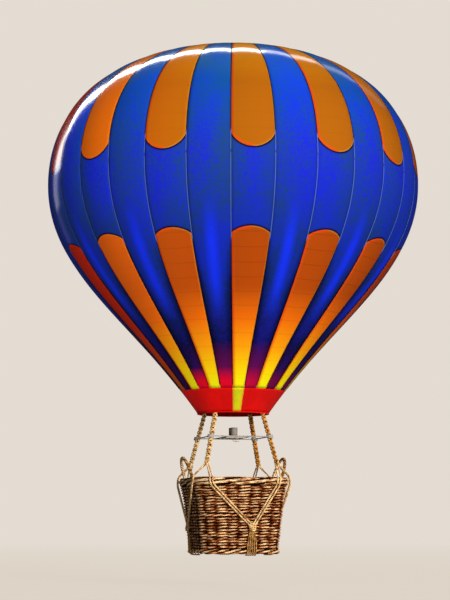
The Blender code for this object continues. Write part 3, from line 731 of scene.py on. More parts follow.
def jute_finish(name, codes):
    """Twisted jute: hairy and matt, in paler and darker stretches."""
    made, tree, spot = finish(name, 0.9, Specular_IOR_Level=0.2)
    # Paler and darker stretches of about 170 mm
    tone = node(tree, "TexNoise", {"Vector": spot, "Scale": 6.0, "Detail": 4.0, "Roughness": 0.65})
    dark, pale, middling = codes
    body = node(tree, "ValToRGB", (tone,), stops=((0.30, dark), (0.68, pale), (0.48, middling)))
    # Fibres are under 1 mm across. These are 17 by 56 mm, so that they show
    drawn = node(tree, "Mapping", {"Vector": spot, "Scale": (30.0, 30.0, 9.0)})
    fibres = node(tree, "TexNoise", {"Vector": drawn, "Scale": 2.0, "Detail": 3.0})
    return close_finish(made, body, fibres, 0.5, 0.012)


def willow_finish(name, codes):
    """Buff willow, boiled and varnished, with painted light and shade: pale where a rod stands proud, and
    brown in the hollows.
    """
    made, tree, spot = finish(name, 0.5, Specular_IOR_Level=0.3)
    strand = node(tree, "Attribute", out="Fac", attribute_name="strand")
    # Rods differ over 70 mm of height. Their grain, about 1 mm, is 28 by 170 mm, so that it shows
    drawn = node(tree, "Mapping", {"Vector": spot, "Scale": (1.0, 1.0, 6.0)})
    rods = node(tree, "TexNoise", {"Vector": drawn, "Scale": 2.4, "Detail": 4.0, "Roughness": 0.7})
    drawn = node(tree, "Mapping", {"Vector": spot, "Scale": (3.0, 3.0, 18.0)})
    grain = node(tree, "TexNoise", {"Vector": drawn, "Scale": 2.0, "Detail": 2.0})
    tone = node(tree, "Math", (strand, 0.10, rods), "MULTIPLY_ADD")
    fine = node(tree, "Math", (grain, 0.5, -0.28), "MULTIPLY_ADD")
    # Painted light and shade: paler where a rod stands proud, darker where it dips into the weave
    proud = node(tree, "Attribute", out="Fac", attribute_name="proud")
    proud = node(tree, "MapRange", (proud, -0.2, 0.9, -0.14, 0.07))
    for more in (fine, proud):
        tone = node(tree, "Math", (tone, more), "ADD")
    dark, brown, tan, pale = codes
    stops = ((0.34, dark), (0.74, pale), (0.48, brown), (0.60, tan))
    body = node(tree, "ValToRGB", (tone,), stops=stops)
    return close_finish(made, body, grain, 0.4, 0.01)


def metal_finish(name, code, roughness, wear):
    """Brushed metal: streaks of brushing, and duller marks where it is handled or heated."""
    made, tree, spot = finish(name, roughness, metallic=0.4)
    # Duller marks of up to 140 mm
    marks = node(tree, "TexNoise", {"Vector": spot, "Scale": 7.0, "Detail": 4.0, "Roughness": 0.6})
    marks = node(tree, "MapRange", (marks, 0.5, 0.75, 0.0, 0.5))
    body = node(tree, "Mix", {0: marks, 6: code, 7: wear}, **BLEND)
    # Brushing marks are under 0.5 mm apart. These are 6 mm apart and 60 mm long, so that they show
    drawn = node(tree, "Mapping", {"Vector": spot, "Scale": (8.0, 8.0, 90.0)})
    brushing = node(tree, "TexNoise", {"Vector": drawn, "Scale": 2.0})
    return close_finish(made, body, brushing, 0.15, 0.002)


def enamel_finish(name, code, dark):
    """Enamel on pressed steel: even and glossy, scuffed to a darker primer in places."""
    made, tree, spot = finish(name, 0.35, Coat_Weight=0.4, Coat_Roughness=0.15)
    # Scuffs of up to 110 mm, as on a cylinder that is lifted in and out
    scuffs = node(tree, "TexNoise", {"Vector": spot, "Scale": 9.0, "Detail": 5.0, "Roughness": 0.7})
    worn = node(tree, "MapRange", (scuffs, 0.58, 0.66, 0.0, 0.7))
    body = node(tree, "Mix", {0: worn, 6: code, 7: dark}, **BLEND)
    return close_finish(made, body, scuffs, 0.1, 0.002)


def leather_finish(name, code):
    """Bridle leather: waxed, creased across, and darker at its pores."""
    made, tree, spot = finish(name, 0.55, Specular_IOR_Level=0.4)
    # Creases are 2 to 5 mm apart. These are up to 33 mm, so that they show
    creases = node(tree, "TexNoise", {"Vector": spot, "Scale": 30.0, "Detail": 4.0})
    body = node(tree, "Mix", {0: creases, 6: "#1e0f08", 7: code}, **BLEND)
    return close_finish(made, body, creases, 0.3, 0.002)


def board_finish():
    """Birch plywood: fine grain one way."""
    made, tree, spot = finish("birch_plywood", 0.6)
    # Its grain is 1 to 3 mm wide. This is 29 mm wide, so that it shows
    drawn = node(tree, "Mapping", {"Vector": spot, "Scale": (1.0, 14.0, 1.0)})
    grain = node(tree, "TexNoise", {"Vector": drawn, "Scale": 2.5, "Detail": 4.0})
    body = node(tree, "ValToRGB", (grain,), stops=((0.35, "#6a4828"), (0.65, "#a57c4c")))
    return close_finish(made, body, grain, 0.2, 0.004)


# Envelope


def dress(piece, body, slot, *nodes):
    """Puts a piece under what carries it, and hides the solids that it stands for. Its slot is not used."""
    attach(piece, body)
    if nodes:
        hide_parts(*nodes)
    return piece


def make_sheet(source, tree, name, middle_height, **values):
    """Cloth from the gore tree, its outer face outwards, with its thickness: (piece, its area)."""
    piece = grow(source, tree, name, **values)
    face = piece.data.polygons[len(piece.data.polygons) // 2]
    if face.normal.dot(face.center - Vector((0, 0, middle_height))) < 0:
        piece.data.flip_normals()
    area = sum(face.area for face in piece.data.polygons)
    modifier = piece.modifiers.new("thickness", "SOLIDIFY")
    modifier.thickness = CLOTH
    modifier.offset = -1.0
    mesh = finished_mesh(piece)
    piece.modifiers.clear()
    piece.data = mesh
    return piece, area


def make_envelope(tree, frame):
    """28 gores, the skirt with its yellow panel, and the valve. Gives the gores and the skirt."""
    outline = path_object("meridian", [[(p.x, 0.0, p.y) for p in OUTLINE]])
    petal = gore_finish("ripstop_nylon_petal_gore", True)
    blue = gore_finish("ripstop_nylon_blue_gore", False)
    red = skirt_finish("aramid_cloth_red", "#d80d0b", "#be0b0a", "#be0b0a", 0.02, 0.25)
    yellow = skirt_finish("aramid_cloth_yellow", "#e6d414", "#a4b414", "#dc8420", 0.12, 0.75)
    vent = down_gore(radius=VENT_RADIUS) / OUTLINE_LENGTH
    valve = down_gore(radius=VALVE_RADIUS) / OUTLINE_LENGTH
    skirt = down_gore(height=SKIRT_TOP) / OUTLINE_LENGTH
    bands = [name for name in frame["nodes"] if name.endswith("_panels")]
    pieces = []
    flat = (FULL_TURN * (RADIUS + GORE_BULGE) / GORES, (skirt - vent) * OUTLINE_LENGTH)
    for gore in range(GORES):
        name = f"gore_{gore + 1:02d}"
        values = {"gore": float(gore), "start": vent, "end": skirt, "material": blue if gore % 2 else petal}
        piece, area = make_sheet(outline, tree, name, 0.0, **values)
        dress(piece, "balloon", "envelope_fabric", *bands)
        pieces.append(piece)
    skirt_share = FULL_TURN * skirt_top_radius() / GORES
    plain = {"rows": 12, "start": skirt, "end": 1.0, "bulge": 0.0}
    for name, gore, wide, cloth, slot, solid in (
        ("skirt_cloth", GORES / 2, GORES - 1, red, "skirt_fabric", "skirt"),
        ("skirt_yellow_cloth", 0.0, 1, yellow, "panel_fabric", "skirt_front_panel"),
    ):
        values = {"gore": gore, "span": float(wide), "columns": 8 * wide + 1, "material": cloth, **plain}
        piece, area = make_sheet(outline, tree, name, (SKIRT_TOP - MOUTH_DEPTH) / 2, **values)
        dress(piece, "balloon", slot, solid)
        flat = (skirt_share * wide, SKIRT_HEIGHT)
        area = min(area, flat[0] * flat[1])
        pieces.append(piece)
    values = {"span": float(GORES), "columns": 6 * GORES + 1, "rows": 16, "end": valve, "material": blue}
    piece, area = make_sheet(outline, tree, "valve_cloth", 0.0, lift=-VALVE_DROP, **values)
    dress(piece, "valve", "envelope_fabric", "parachute_valve")
    flat = (2 * VALVE_RADIUS, 2 * VALVE_RADIUS)
    bpy.data.objects.remove(outline)
    make_hem(red)
    return pieces


def skirt_top_radius():
    """The outline's radius where the skirt starts."""
    place = down_gore(height=SKIRT_TOP) / OUTLINE_LENGTH * (len(OUTLINE) - 1)
    return OUTLINE[int(place)].x


def make_hem(red, sides=12):
    """The rolled hem with the mouth's ring in it."""
    middle = MOUTH_RADIUS + 0.5 * MOUTH_TUBE * math.sin(MOUTH_LEAN) - MOUTH_TUBE
    height = -MOUTH_DEPTH - MOUTH_TUBE * math.cos(MOUTH_LEAN)
    tube = MOUTH_TUBE + HEM_CLOTH
    turns = [FULL_TURN * i / sides for i in range(sides)]
    section = [(middle + tube * math.cos(turn), height + tube * math.sin(turn)) for turn in turns]
    hem = lathe("mouth_hem", section, red, sides=4 * GORES)
    dress(hem, "balloon", "skirt_fabric", "mouth_ring")


def make_tapes(tree):
    """The 28 load tapes on the seams, from the crown ring to the skirt."""
    points = []
    for a, b in zip(OUTLINE, OUTLINE[1:]):
        if a.x < CROWN_RING_RADIUS or b.y < SKIRT_TOP:
            continue
        way = (b - a).normalized()
        fade = min(max((a.x - BULGE_FROM) / (BULGE_WHOLE - BULGE_FROM), 0.0), 1.0)
        off = TAPE_THICK / 2 - 0.5 * GORE_BULGE * fade
        points.append((a.x - off * way.y, 0.0, a.y + off * way.x))
    first = GORE_TURN + math.pi / GORES - math.pi / 2
    piece = wind(tree, "load_tapes", [points], first_turn=first, material=tape_finish())
    dress(piece, "balloon", "load_tape", "crown_tapes")


# Basket


def even_loop(half, offset, height, count, wobble=0.0):
    """Points at equal steps round a rounded square, which starts at the middle of its right side."""
    radius = CORNER_SHARE * half
    reach = radius + offset
    flat = half - radius
    arc = math.pi / 2 * reach
    side = 2 * flat
    round_it = 4 * (side + arc)
    points = []
    for i in range(count):
        quarter, along = divmod(round_it * i / count + flat, side + arc)
        if along <= side:
            local = Vector((half + offset, along - flat))
        else:
            angle = (along - side) / reach
            local = Vector((flat + reach * math.cos(angle), flat + reach * math.sin(angle)))
        at = Matrix.Rotation(math.pi / 2 * quarter, 2) @ local
        # Two waves round the loop, which differ from row to row
        sway = FULL_TURN * i / count
        lift = wobble * (math.sin(5 * sway + 7 * height) + math.sin(11 * sway + 13 * height)) / 2
        points.append(Vector((at.x, at.y, height + lift)))
    return points


def wall_half(height):
    """The half width of the wall's outside at this height."""
    for (high, wide), (low, narrow) in zip(WALL_SECTIONS, WALL_SECTIONS[1:]):
        if low <= height <= high:
            return wide + (narrow - wide) * (high - height) / (high - low)
    return WALL_SECTIONS[0][1] if height > WALL_TOP else WALL_SECTIONS[-1][1]


def make_basket(tree):
    """Pairing between stakes, two bands of it with a wale between, and wound borders at rim and foot."""
    weaver = willow_finish("buff_willow_weavers", ("#0e0200", "#863e08", "#e48a38", "#ffdda8"))
    border = willow_finish("buff_willow_borders", ("#160300", "#985012", "#fcb464", "#fff0c0"))
    peeled = willow_finish("peeled_willow_handles", ("#6e4a1e", "#c89a58", "#ffe0a4", "#fff6dc"))
    # The weave's middle is near black: painted shade between the rods
    shade = willow_finish("willow_inner_face", ("#0c0301", "#180602", "#240c04", "#301408"))
    count = 8 * STAKES
    pair = {"turns": STAKES / 2.0, "out": WEAVER_OUT, "up": WEAVER_UP, "strand_radius": WEAVER}
    wale = {"strands": 3, "turns": 12.0, "out": 0.046, "up": 0.036, "strand_radius": 0.030}
    for name, top, bottom, rows, wobble, sizes in (
        ("weave_upper", WALL_TOP, WALE_TOP, UPPER_ROWS, WEAVE_WOBBLE, pair),
        ("weave_lower", WALE_BOTTOM, WEAVE_FOOT, LOWER_ROWS, WEAVE_WOBBLE, pair),
        ("waling", WALE_TOP, WALE_BOTTOM, 1, 0.0, wale),
    ):
        pitch = (top - bottom) / rows
        heights = [top - pitch * (i + 0.5) for i in range(rows)]
        loops = [even_loop(wall_half(z), -WALL_MIDDLE, z, count, wobble) for z in heights]
        piece = wind(tree, name, loops, cyclic=True, points=count, material=weaver, **sizes)
        dress(piece, "balloon", "wicker", "basket_wall")
    make_stakes(weaver)
    make_core(shade)
    count = 12 * STAKES
    for name, half, thick, low, high, strands, turns, solid in (
        ("rim_winding", RIM_HALF, RIM_THICK, WALL_TOP, RIM_TOP, 5, 2.0, "rim_border"),
        ("base_winding", BASE_HALF, BASE_THICK, BASE_BOTTOM, WEAVE_FOOT, 4, 6.0, "base_border"),
    ):
        stick = (high - low) * 0.15
        loop = even_loop(half, -thick / 2, (high + low) / 2, count)
        sizes = {"strands": strands, "turns": turns, "points": count, "strand_radius": stick, "sides": 10}
        sizes |= {"out": thick / 2 - stick, "up": (high - low) / 2 - stick}
        piece = wind(tree, name, [loop], cyclic=True, material=border, **sizes)
        dress(piece, "balloon", "wicker", solid)
    sizes = {"strands": 3, "turns": 7.0, "out": 0.038, "up": 0.038, "strand_radius": 0.036, "sides": 8}
    sizes |= {"points": 140, "reference": (1.0, 0.0, 0.0)}
    for name, side in (("handle_left", -1), ("handle_right", 1)):
        piece = wind(tree, name + "_winding", [handle_path(side)], material=peeled, **sizes)
        dress(piece, "balloon", "wicker", name)


def handle_path(side, steps=40, rooted=0.12):
    """An arch on the rim, its feet run down into the border. Side is -1 or 1."""
    middle = RIM_HALF - RIM_THICK / 2
    points = [Vector((side * middle, -HANDLE_HALF_SPAN, RIM_TOP - rooted))]
    for i in range(steps + 1):
        turn = math.pi * i / steps
        out = side * (middle + HANDLE_LEAN * math.sin(turn))
        height = RIM_TOP + HANDLE_RISE * math.sin(turn)
        points.append(Vector((out, -HANDLE_HALF_SPAN * math.cos(turn), height)))
    return points + [Vector((side * middle, HANDLE_HALF_SPAN, RIM_TOP - rooted))]


def make_stakes(material, sides=6):
    """The upright stakes that the weavers pass on either side."""
    points, faces = [], []
    rings = [even_loop(half, -WALL_MIDDLE, z, STAKES) for z, half in WALL_SECTIONS]
    for k in range(STAKES):
        start = len(points)
        for loop in rings:
            points += [loop[k] + polar(STAKE, FULL_TURN * i / sides, 0) for i in range(sides)]
        for j in range(len(rings) - 1):
            a, b = start + sides * j, start + sides * (j + 1)
            faces += [(a + i, a + (i + 1) % sides, b + (i + 1) % sides, b + i) for i in range(sides)]
        last = start + sides * (len(rings) - 1)
        faces += [tuple(range(start, start + sides)), tuple(range(last, last + sides))]
    dress(mesh_piece("stakes", points, faces, material), "balloon", "wicker", "basket_wall")


def make_core(material, half_thick=0.012, sunk=0.05, count=96):
    """The dense middle of the weave and of its borders, seen between the rods: a near-black sheet of painted
    shade.
    """
    rim_middle, rim_reach = RIM_HALF - RIM_THICK / 2, 0.09
    base_middle, base_reach = BASE_HALF - BASE_THICK / 2, 0.06
    sections = [(RIM_TOP - sunk, rim_middle, rim_reach), (WALL_TOP + sunk, rim_middle, rim_reach)]
    sections += [(z, half - WALL_MIDDLE, half_thick) for z, half in WALL_SECTIONS]
    sections += [(WEAVE_FOOT, base_middle, base_reach), (BASE_BOTTOM + sunk, base_middle, base_reach)]
    loops = [even_loop(half, reach, z, count) for z, half, reach in sections]
    loops += [even_loop(half, -reach, z, count) for z, half, reach in sections[::-1]]
    points = [point for loop in loops for point in loop]
    faces = []
    for j in range(len(loops)):
        a, b = j * count, (j + 1) % len(loops) * count
        faces += [(a + i, a + (i + 1) % count, b + (i + 1) % count, b + i) for i in range(count)]
    piece = mesh_piece("weave_middle", points, faces, material)
    dress(piece, "balloon", "wicker", "basket_wall", "rim_border", "base_border")


# Ropes and net


def make_ropes(tree, steps=60):
    """Four sinnets of square knots: two cords knotted over two straight ones."""
    # The back ropes' cord is a darker copy of the front's, painted shade, and the near-black cores between
    # the knots are painted shade too
    front = jute_finish("jute_cord_front", ("#7a3a06", "#ffe29e", "#f4ae50"))
    back = jute_finish("jute_cord_back", ("#321402", "#e0a048", "#8c4c12"))
    shaded_heart = jute_finish("jute_cord_inner", ("#140600", "#6a3c10", "#381c06"))
    for place, corner in CORNERS.items():
        angle = math.radians(corner)
        top = polar(ROPE_TOP_REACH, angle, ROPE_TOP)
        bottom = polar(ROPE_END_REACH, angle, ROPE_END)
        line = [top.lerp(bottom, i / steps) for i in range(steps + 1)]
        turns = (bottom - top).length / KNOT_PITCH
        knotted = {"turns": turns, "fold": 1.0, "out": ROPE_HALF_WIDTH, "up": ROPE_DEPTH, "points": 360}
        straight = {"turns": 0.0, "out": ROPE_CORE, "up": 0.0, "points": 12}
        for part, sizes, radius, cord in (
            ("sinnet_", knotted, ROPE_STRAND, front if "front" in place else back),
            ("core_", straight, ROPE_CORE, shaded_heart),
        ):
            sizes |= {"strand_radius": radius, "sides": 8, "reference": tuple(polar(1.0, angle, 0.0))}
            piece = wind(tree, part + place, [line], material=cord, **sizes)
            dress(piece, "balloon", "rope", "rope_" + place)


def face_reach(half, along):
    """How far out a rounded square's side lies, this far along it from its middle."""
    radius = CORNER_SHARE * half
    past = max(0.0, abs(along) - half + radius)
    return half - radius + math.sqrt(radius**2 - past**2)


def leg_paths(side, offset, clear=0.045, rounding=0.16):
    """Two strands from a rope's end over the rim to the knot, on the front face. Side is -1 or 1."""
    share = math.sqrt(0.5)
    corner = ROPE_END_REACH * share
    outside = face_reach(RIM_HALF, RIM_CROSSING) + clear
    knot_top = KNOT_HEIGHT + 0.12
    over_rim = Vector((side * (RIM_CROSSING + 0.02), -outside + 0.03, RIM_TOP + 0.02))
    crossing = Vector((side * RIM_CROSSING, -outside, RIM_TOP - 0.31))
    meeting = Vector((offset + side * 0.06, -wall_half(knot_top) - 0.06, knot_top))
    down_it = (meeting - crossing).normalized()
    apart = side * Vector((-down_it.z, 0, down_it.x))
    across_rope = Vector((side * share, -share, 0))

    # Where the leg's middle passes, and which way its two strands lie apart there
    stations = (
        (Vector((side * corner, -corner, ROPE_END + 0.10)), across_rope),
        (Vector((side * (corner - 0.03), -corner - 0.03, ROPE_END - 0.04)), across_rope),
        (over_rim, Vector((side, 0, 0))),
        (crossing, apart),
        (meeting, 0.8 * apart),
    )
    lines = [[at + way * CORD_APART * wide for at, wide in stations] for way in (-1, 1)]
    return [soften(line, rounding) for line in lines]


def knot_path(offset, turns=3.5, steps=24, half_tall=0.13, slant=0.045, neck=0.07, swell=0.055):
    """The cord's wraps round the place where the legs meet, widest in the middle of the knot."""
    middle = Vector((offset, -wall_half(KNOT_HEIGHT) - 0.085, KNOT_HEIGHT + 0.02))
    points = []
    for i in range(int(turns * steps) + 1):
        angle = FULL_TURN * i / steps
        rise = half_tall - 2 * half_tall * i / (turns * steps)
        wide = neck + swell * math.cos(math.pi * rise / 0.30)
        height = rise + slant * math.sin(angle)
        points.append(middle + Vector((wide * math.cos(angle), 0.5 * wide * math.sin(angle), height)))
    return points


def tail_paths(offset, count=5, top_wide=0.13, foot_wide=0.36, rounding=0.10):
    """The loose ends below the knot, side by side down the wall and under the base."""
    out = BASE_HALF + 0.03
    wall_foot = WALL_SECTIONS[-1][0] + 0.06
    low = KNOT_HEIGHT - 0.28
    under = BASE_BOTTOM - 0.035
    lines = []
    for k in range(count):
        spread = (k - (count - 1) / 2) / (count - 1)
        narrow, wide = top_wide * spread, foot_wide * spread
        line = (
            (narrow, wall_half(KNOT_HEIGHT) + 0.09, KNOT_HEIGHT),
            (0.5 * (narrow + wide), wall_half(low) + 0.05, low),
            (wide, out + 0.03, wall_foot),
            (wide, out + 0.005, BASE_BOTTOM + 0.10),
            (wide, out - 0.09, under),
            (wide, out - 0.40, under),
        )
        lines.append(soften([Vector((offset + along, -reach, z)) for along, reach, z in line], rounding))
    return lines


def make_net(tree):
    """Round each face of the basket: two legs of two cords, a knot where they meet, and its ends."""
    cord = jute_finish("jute_cord_net", ("#8a4408", "#ffe6aa", "#ffbc64"))
    frayed = jute_finish("jute_cord_ends", ("#2c1202", "#dca860", "#7c4818"))
    for place, turn, offset in NETS:
        spin = Matrix.Rotation(math.radians(turn), 3, "Z")
        off_face = tuple(spin @ Vector((0.2, -1.0, 0.1)))
        for part, lines, ply, points, jute in (
            ("legs", leg_paths(-1, offset) + leg_paths(1, offset), PLY, 160, cord),
            ("wraps", [knot_path(offset)], PLY, 200, cord),
            ("tail", tail_paths(offset), PLY * 0.8, 60, frayed),
        ):
            lines = [[spin @ point for point in line] for line in lines]
            long = sum((b - a).length for a, b in zip(lines[0], lines[0][1:]))
            sizes = {"turns": long / CORD_LAY, "out": ply * 0.9, "up": ply * 0.9, "strand_radius": ply}
            sizes |= {"points": points, "reference": off_face}
            piece = wind(tree, f"net_{place}_{part}", lines, material=jute, **sizes)
            dress(piece, "balloon", "rope", "net_" + place)


# Burner, cylinders and other rigid pieces


def dress_solids(frame):
    """Finishes for the solids that stay as they are."""
    steel = metal_finish("brushed_stainless_steel", "#c2c2be", 0.32, "#7c7670")
    burnt = metal_finish("heat_tinted_steel", "#a8a29a", 0.38, "#74502e")
    brass = metal_finish("cast_brass", "#c89c50", 0.40, "#7a5a2a")
    solids = {name: steel for name in ("burner_frame", "gimbal_ring", "crown_ring")}
    for name, material in {**solids, "burner_body": brass, "basket_floor": board_finish()}.items():
        solid = frame["nodes"][name]
        solid.data.materials.clear()
        solid.data.materials.append(material)
    return steel, burnt, brass


def rod(name, points, radius, material, sides=10):
    """A round rod bent along points, its ends closed."""
    path = path_object(name + "_path", [soften(points, 4 * radius)])
    path.data.bevel_depth = radius
    path.data.bevel_resolution = sides // 4
    path.data.use_fill_caps = True
    mesh = finished_mesh(path)
    bpy.data.objects.remove(path)
    mesh.name = name
    mesh.materials.clear()
    mesh.materials.append(material)
    mesh.shade_smooth()
    mesh.set_sharp_from_angle(angle=ROD_CREASE)
    return add_object(name, mesh)


def make_burner(tree, steel, burnt, brass):
    """The cans, with a rib near either end, and what they carry: coils, jets and the levers below."""
    coil_sizes = {"strands": 1, "turns": 5.0, "out": 0.122, "up": 0.122, "points": 160}
    coil_sizes |= {"strand_radius": 0.008, "sides": 8, "reference": (1.0, 0.0, 0.0)}
    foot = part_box("burner_body")[0][2]
    for name, side in (("front", -1), ("back", 1)):
        low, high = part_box("burner_can_" + name)
        middle = Vector(((low[0] + high[0]) / 2, (low[1] + high[1]) / 2, 0))
        bottom, top = low[2], high[2]
        outside = (high[0] - low[0]) / 2
        wall = outside - CAN_RIB
        can = [(wall - CAN_WALL, bottom), (wall, bottom)]
        for z in (bottom + 0.05, top - 0.03):
            can += [(wall, z - 0.012), (outside, z - 0.006), (outside, z + 0.006), (wall, z + 0.012)]
        can += [(wall, top), (wall - CAN_WALL, top)]
        can = lathe("can_shell_" + name, can, burnt, middle, sides=64)
        dress(can, "burner", "bare_metal", "burner_can_" + name)
        line = [middle + Vector((0, 0, z)) for z in (top - 0.20, top - 0.02)]
        coil = wind(tree, "vaporiser_coil_" + name, [line], material=steel, **coil_sizes)
        dress(coil, "burner", "bare_metal")
        jets = ring(0.060, 0.085, bottom + 0.03, bottom + 0.055)
        dress(lathe("jet_ring_" + name, jets, brass, middle), "burner", "burner_brass")
        bends = ((0.03, 0.17, 0.02), (0.03, 0.17, -0.05), (0.09, 0.19, -0.09), (0.22, 0.20, -0.10))
        lever = [Vector((x, side * y, foot + z)) for x, y, z in bends]
        dress(rod("blast_lever_" + name, lever, LEVER_RADIUS, brass), "burner", "burner_brass")


def make_cylinders(steel):
    """Fuel cylinders: a pressed shell with a weld round its middle, a foot ring, a collar and a valve."""
    shell = enamel_finish("grey_enamel_on_steel", "#8f918e", "#4c4a48")
    leather = leather_finish("leather_strap", "#4a2c18")
    for place in CORNERS:
        node_name = "cylinder_" + place
        low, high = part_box(node_name)
        middle = ((low[0] + high[0]) / 2, (low[1] + high[1]) / 2, low[2])
        tall = high[2] - low[2]
        wide = (high[0] - low[0]) / 2

        # In shares of half the width and of the height, but for the foot's heights, which are in metres
        foot = [(0.0, 0.03), (0.75, 0.02), (0.75, 0.0), (0.82, 0.0), (0.84, 0.03), (0.97, 0.07), (1.0, 0.12)]
        welded = [(1.0, 0.43), (1.015, 0.435), (1.015, 0.455), (1.0, 0.46), (1.0, 0.76)]
        shoulder = [(0.96, 0.82), (0.80, 0.87), (0.45, 0.90), (0.0, 0.905)]
        body = [(r * wide, z) for r, z in foot]
        body += [(r * wide, z * tall) for r, z in welded + shoulder]
        stem = [(0.0, 0.90), (0.16, 0.90), (0.16, 0.94), (0.10, 0.945), (0.10, 0.965)]
        wheel = [(0.26, 0.97), (0.26, 0.99), (0.0, 0.99)]
        valve = [(r * wide, z * tall) for r, z in stem + wheel]
        collar = ring(0.56 * wide, 0.58 * wide, 0.885 * tall, tall)
        over = wide + STRAP_THICK
        straps = [ring(wide, over, z * tall - STRAP_HALF, z * tall + STRAP_HALF) for z in (0.25, 0.62)]
        for part, outline, material, slot, sides in (
            ("tank", body, shell, "cylinder_paint", 48),
            ("collar", collar, shell, "cylinder_paint", 48),
            ("valve_wheel", valve, steel, "bare_metal", 16),
            ("strap_low", straps[0], leather, "cylinder_paint", 48),
            ("strap_high", straps[1], leather, "cylinder_paint", 48),
        ):
            piece = lathe(f"{part}_{place}", outline, material, middle, sides)
            dress(piece, "balloon", slot, node_name)


# Stage


def make_world(scene):
    """Pale where the camera sees it, brighter from the front right as light, and dim in the cloth's coat."""
    world = bpy.data.worlds.new("studio")
    scene.world = world
    world.use_nodes = True
    tree = world.node_tree
    tree.nodes.clear()
    rays = node(tree, "LightPath", out=None).outputs
    seen = node(tree, "Background", ("#e4dcd2", 1.0))
    way = node(tree, "TexCoord", out="Generated")
    facing = node(tree, "VectorMath", (way, (0.85, -0.45, 0.25)), "DOT_PRODUCT", out="Value")
    strength = node(tree, "MapRange", (facing, -0.6, 1.0, 0.02, 0.78))
    ambient = node(tree, "Background", ("#f4f2ee", strength))
    mirrored = node(tree, "Background", ("#c8ccd8", 0.02))
    lit = node(tree, "MixShader", (rays["Is Glossy Ray"], ambient, mirrored))
    both = node(tree, "MixShader", (rays["Is Camera Ray"], lit, seen))
    node(tree, "OutputWorld", (both,), out=None)


def floor_finish():
    """A pale studio floor: even to the camera, a little shaded near the basket, and unseen from below."""
    made = bpy.data.materials.new("studio_floor")
    made.use_nodes = True
    tree = made.node_tree
    tree.nodes.clear()
    rays = node(tree, "LightPath", out=None).outputs
    spot = node(tree, "TexCoord", out="Object")
    away = node(tree, "VectorMath", (spot,), "LENGTH", out="Value")
    away = node(tree, "MapRange", (away, 20.0, 220.0))
    tone = node(tree, "Mix", {0: away, 6: "#e4dace", 7: "#e4dcd2"}, **BLEND)
    even = node(tree, "Emission", (tone, 1.0))
    matt = node(tree, "BsdfDiffuse", ("#b0a89c",))
    shown = node(tree, "MapRange", (away, 0.0, 1.0, 0.12, 0.0))
    seen = node(tree, "MixShader", (shown, even, matt))
    both = node(tree, "MixShader", (rays["Is Camera Ray"], matt, seen))
    below = node(tree, "NewGeometry", out="Backfacing")
    both = node(tree, "MixShader", (below, both, node(tree, "BsdfTransparent")))
    node(tree, "OutputMaterial", (both,), out=None)
    return made


def make_floor():
    """The floor, which throws no shadow and isn't mirrored in the cloth's coat."""
    far = FLOOR_REACH
    corners = [(x, y, FLOOR) for x, y in ((-far, -far), (far, -far), (far, far), (-far, far))]
    floor = mesh_piece("studio_floor", corners, [(0, 1, 2, 3)], floor_finish(), smooth=False)
    if floor.data.polygons[0].normal.z < 0:
        floor.data.flip_normals()
    floor.visible_glossy = False
    floor.visible_shadow = False


def make_suns(cloth):
    """A soft key from the front right, a fill from the left for the cloth, and a warm one for the rest."""
    all_but_cloth = bpy.data.collections.new("all_but_cloth")
    all_but_cloth.children.link(cloth)
    all_but_cloth.collection_children[0].light_linking.link_state = "EXCLUDE"

    # Degrees from the front towards the right, degrees up, strength, colour, what they light
    for name, azimuth, elevation, strength, code, lit in (
        ("key", 14, 20, 2.1, "#ffffff", None),
        ("bounce", 20, -35, 0.8, "#ffffff", None),
        ("back_fill", 160, 30, 1.0, "#ffffff", None),
        ("cloth_fill", -40, 5, 1.3, "#ffffff", cloth),
        ("basket_fill", 22, 12, 1.6, "#ffe0b8", all_but_cloth),
    ):
        sun = bpy.data.lights.new(name, "SUN")
        sun.color = colour(code)[:3]
        sun.energy = strength
        sun.angle = SUN_SPREAD
        # With this on, the coat would still mirror the sun faintly
        sun.cycles.use_multiple_importance_sampling = False
        made = add_object(name, sun)
        up = math.radians(elevation)
        away = polar(math.cos(up), math.radians(azimuth), math.sin(up))
        made.rotation_euler = away.to_track_quat("Z", "Y").to_euler()
        made.visible_glossy = False
        made.light_linking.receiver_collection = lit


def make_camera(scene):
    """The photo's view: from the front and a little to the left, level with the basket and tilted up."""
    lens = bpy.data.cameras.new("camera")
    lens.lens = LENS
    lens.clip_end = 3000
    camera = add_object("camera", lens)
    camera.location = polar(CAMERA_REACH, CAMERA_TURN, CAMERA_HEIGHT)
    camera.rotation_euler = (math.pi / 2 + CAMERA_TILT, 0.0, CAMERA_TURN + CAMERA_AIM)
    scene.camera = camera
    return camera


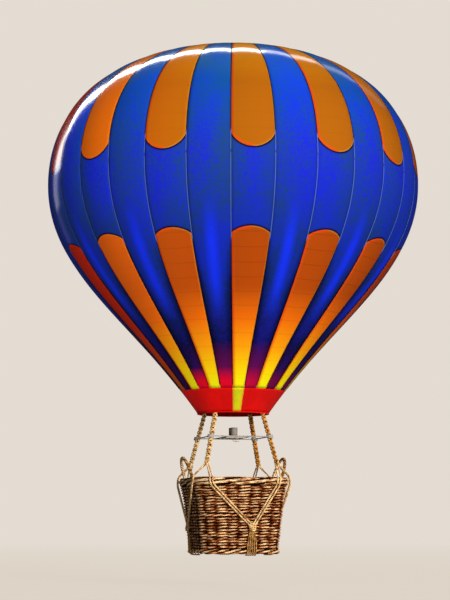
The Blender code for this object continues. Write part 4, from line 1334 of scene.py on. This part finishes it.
def make_glints(camera, cloth, reach=75.0, wide=9.0, long=28.0, power=3700):
    """Lights in a bow behind the envelope, whose reflection is the white arc inside its upper left edge."""
    turn = camera.rotation_euler.to_matrix()
    right, up, away = turn @ Vector((1, 0, 0)), turn @ Vector((0, 1, 0)), turn @ Vector((0, 0, -1))

    # Degrees round from straight up, positive to the right; degrees off the line of sight; share of power
    bow = ((-96, 43, 0.02), (-81, 43, 0.13), (-66, 44, 0.7), (-51, 45, 1.3), (-36, 45, 1.6))
    bow += ((-21, 45, 1.6), (-6, 46, 1.2), (9, 46, 0.4), (24, 46, 0.14), (39, 46, 0.05))
    for i, (around, off, share) in enumerate(bow):
        around, off = math.radians(around), math.radians(off)
        side = math.sin(around) * right + math.cos(around) * up
        way = math.cos(off) * away + math.sin(off) * side
        lamp = bpy.data.lights.new(f"glint_{i}", "AREA")
        lamp.shape = "RECTANGLE"
        lamp.size = long
        lamp.size_y = wide
        lamp.energy = power * share
        made = add_object(f"glint_{i}", lamp)
        tangent = math.cos(around) * right - math.sin(around) * up
        outward = way.cross(tangent).normalized()
        facing = Matrix((tangent, outward, way)).transposed().to_4x4()
        made.matrix_world = Matrix.Translation(way * reach) @ facing
        made.visible_camera = False
        made.visible_diffuse = False
        made.light_linking.receiver_collection = cloth


def make_stage(cloth):
    """The photo's light on a pale floor and backdrop, and its camera."""
    scene = bpy.context.scene
    scene.view_settings.view_transform = "Standard"
    make_world(scene)
    make_floor()
    make_suns(cloth)
    make_glints(make_camera(scene), cloth)


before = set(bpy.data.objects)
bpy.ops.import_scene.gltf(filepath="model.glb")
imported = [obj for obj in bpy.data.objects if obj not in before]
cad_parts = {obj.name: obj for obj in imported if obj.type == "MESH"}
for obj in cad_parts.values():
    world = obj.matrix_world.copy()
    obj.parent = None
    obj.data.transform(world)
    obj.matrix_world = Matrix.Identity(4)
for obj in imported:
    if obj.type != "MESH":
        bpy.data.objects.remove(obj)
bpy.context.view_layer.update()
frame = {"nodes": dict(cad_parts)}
cloth = bpy.data.collections.new("envelope_cloth")
for piece in make_envelope(gore_tree(), frame):
    cloth.objects.link(piece)
make_stage(cloth)
make_tapes(tape_tree())
strands = strand_tree()
make_basket(strands)
make_ropes(strands)
make_net(strands)
steel, burnt, brass = dress_solids(frame)
make_burner(strands, steel, burnt, brass)
make_cylinders(steel)
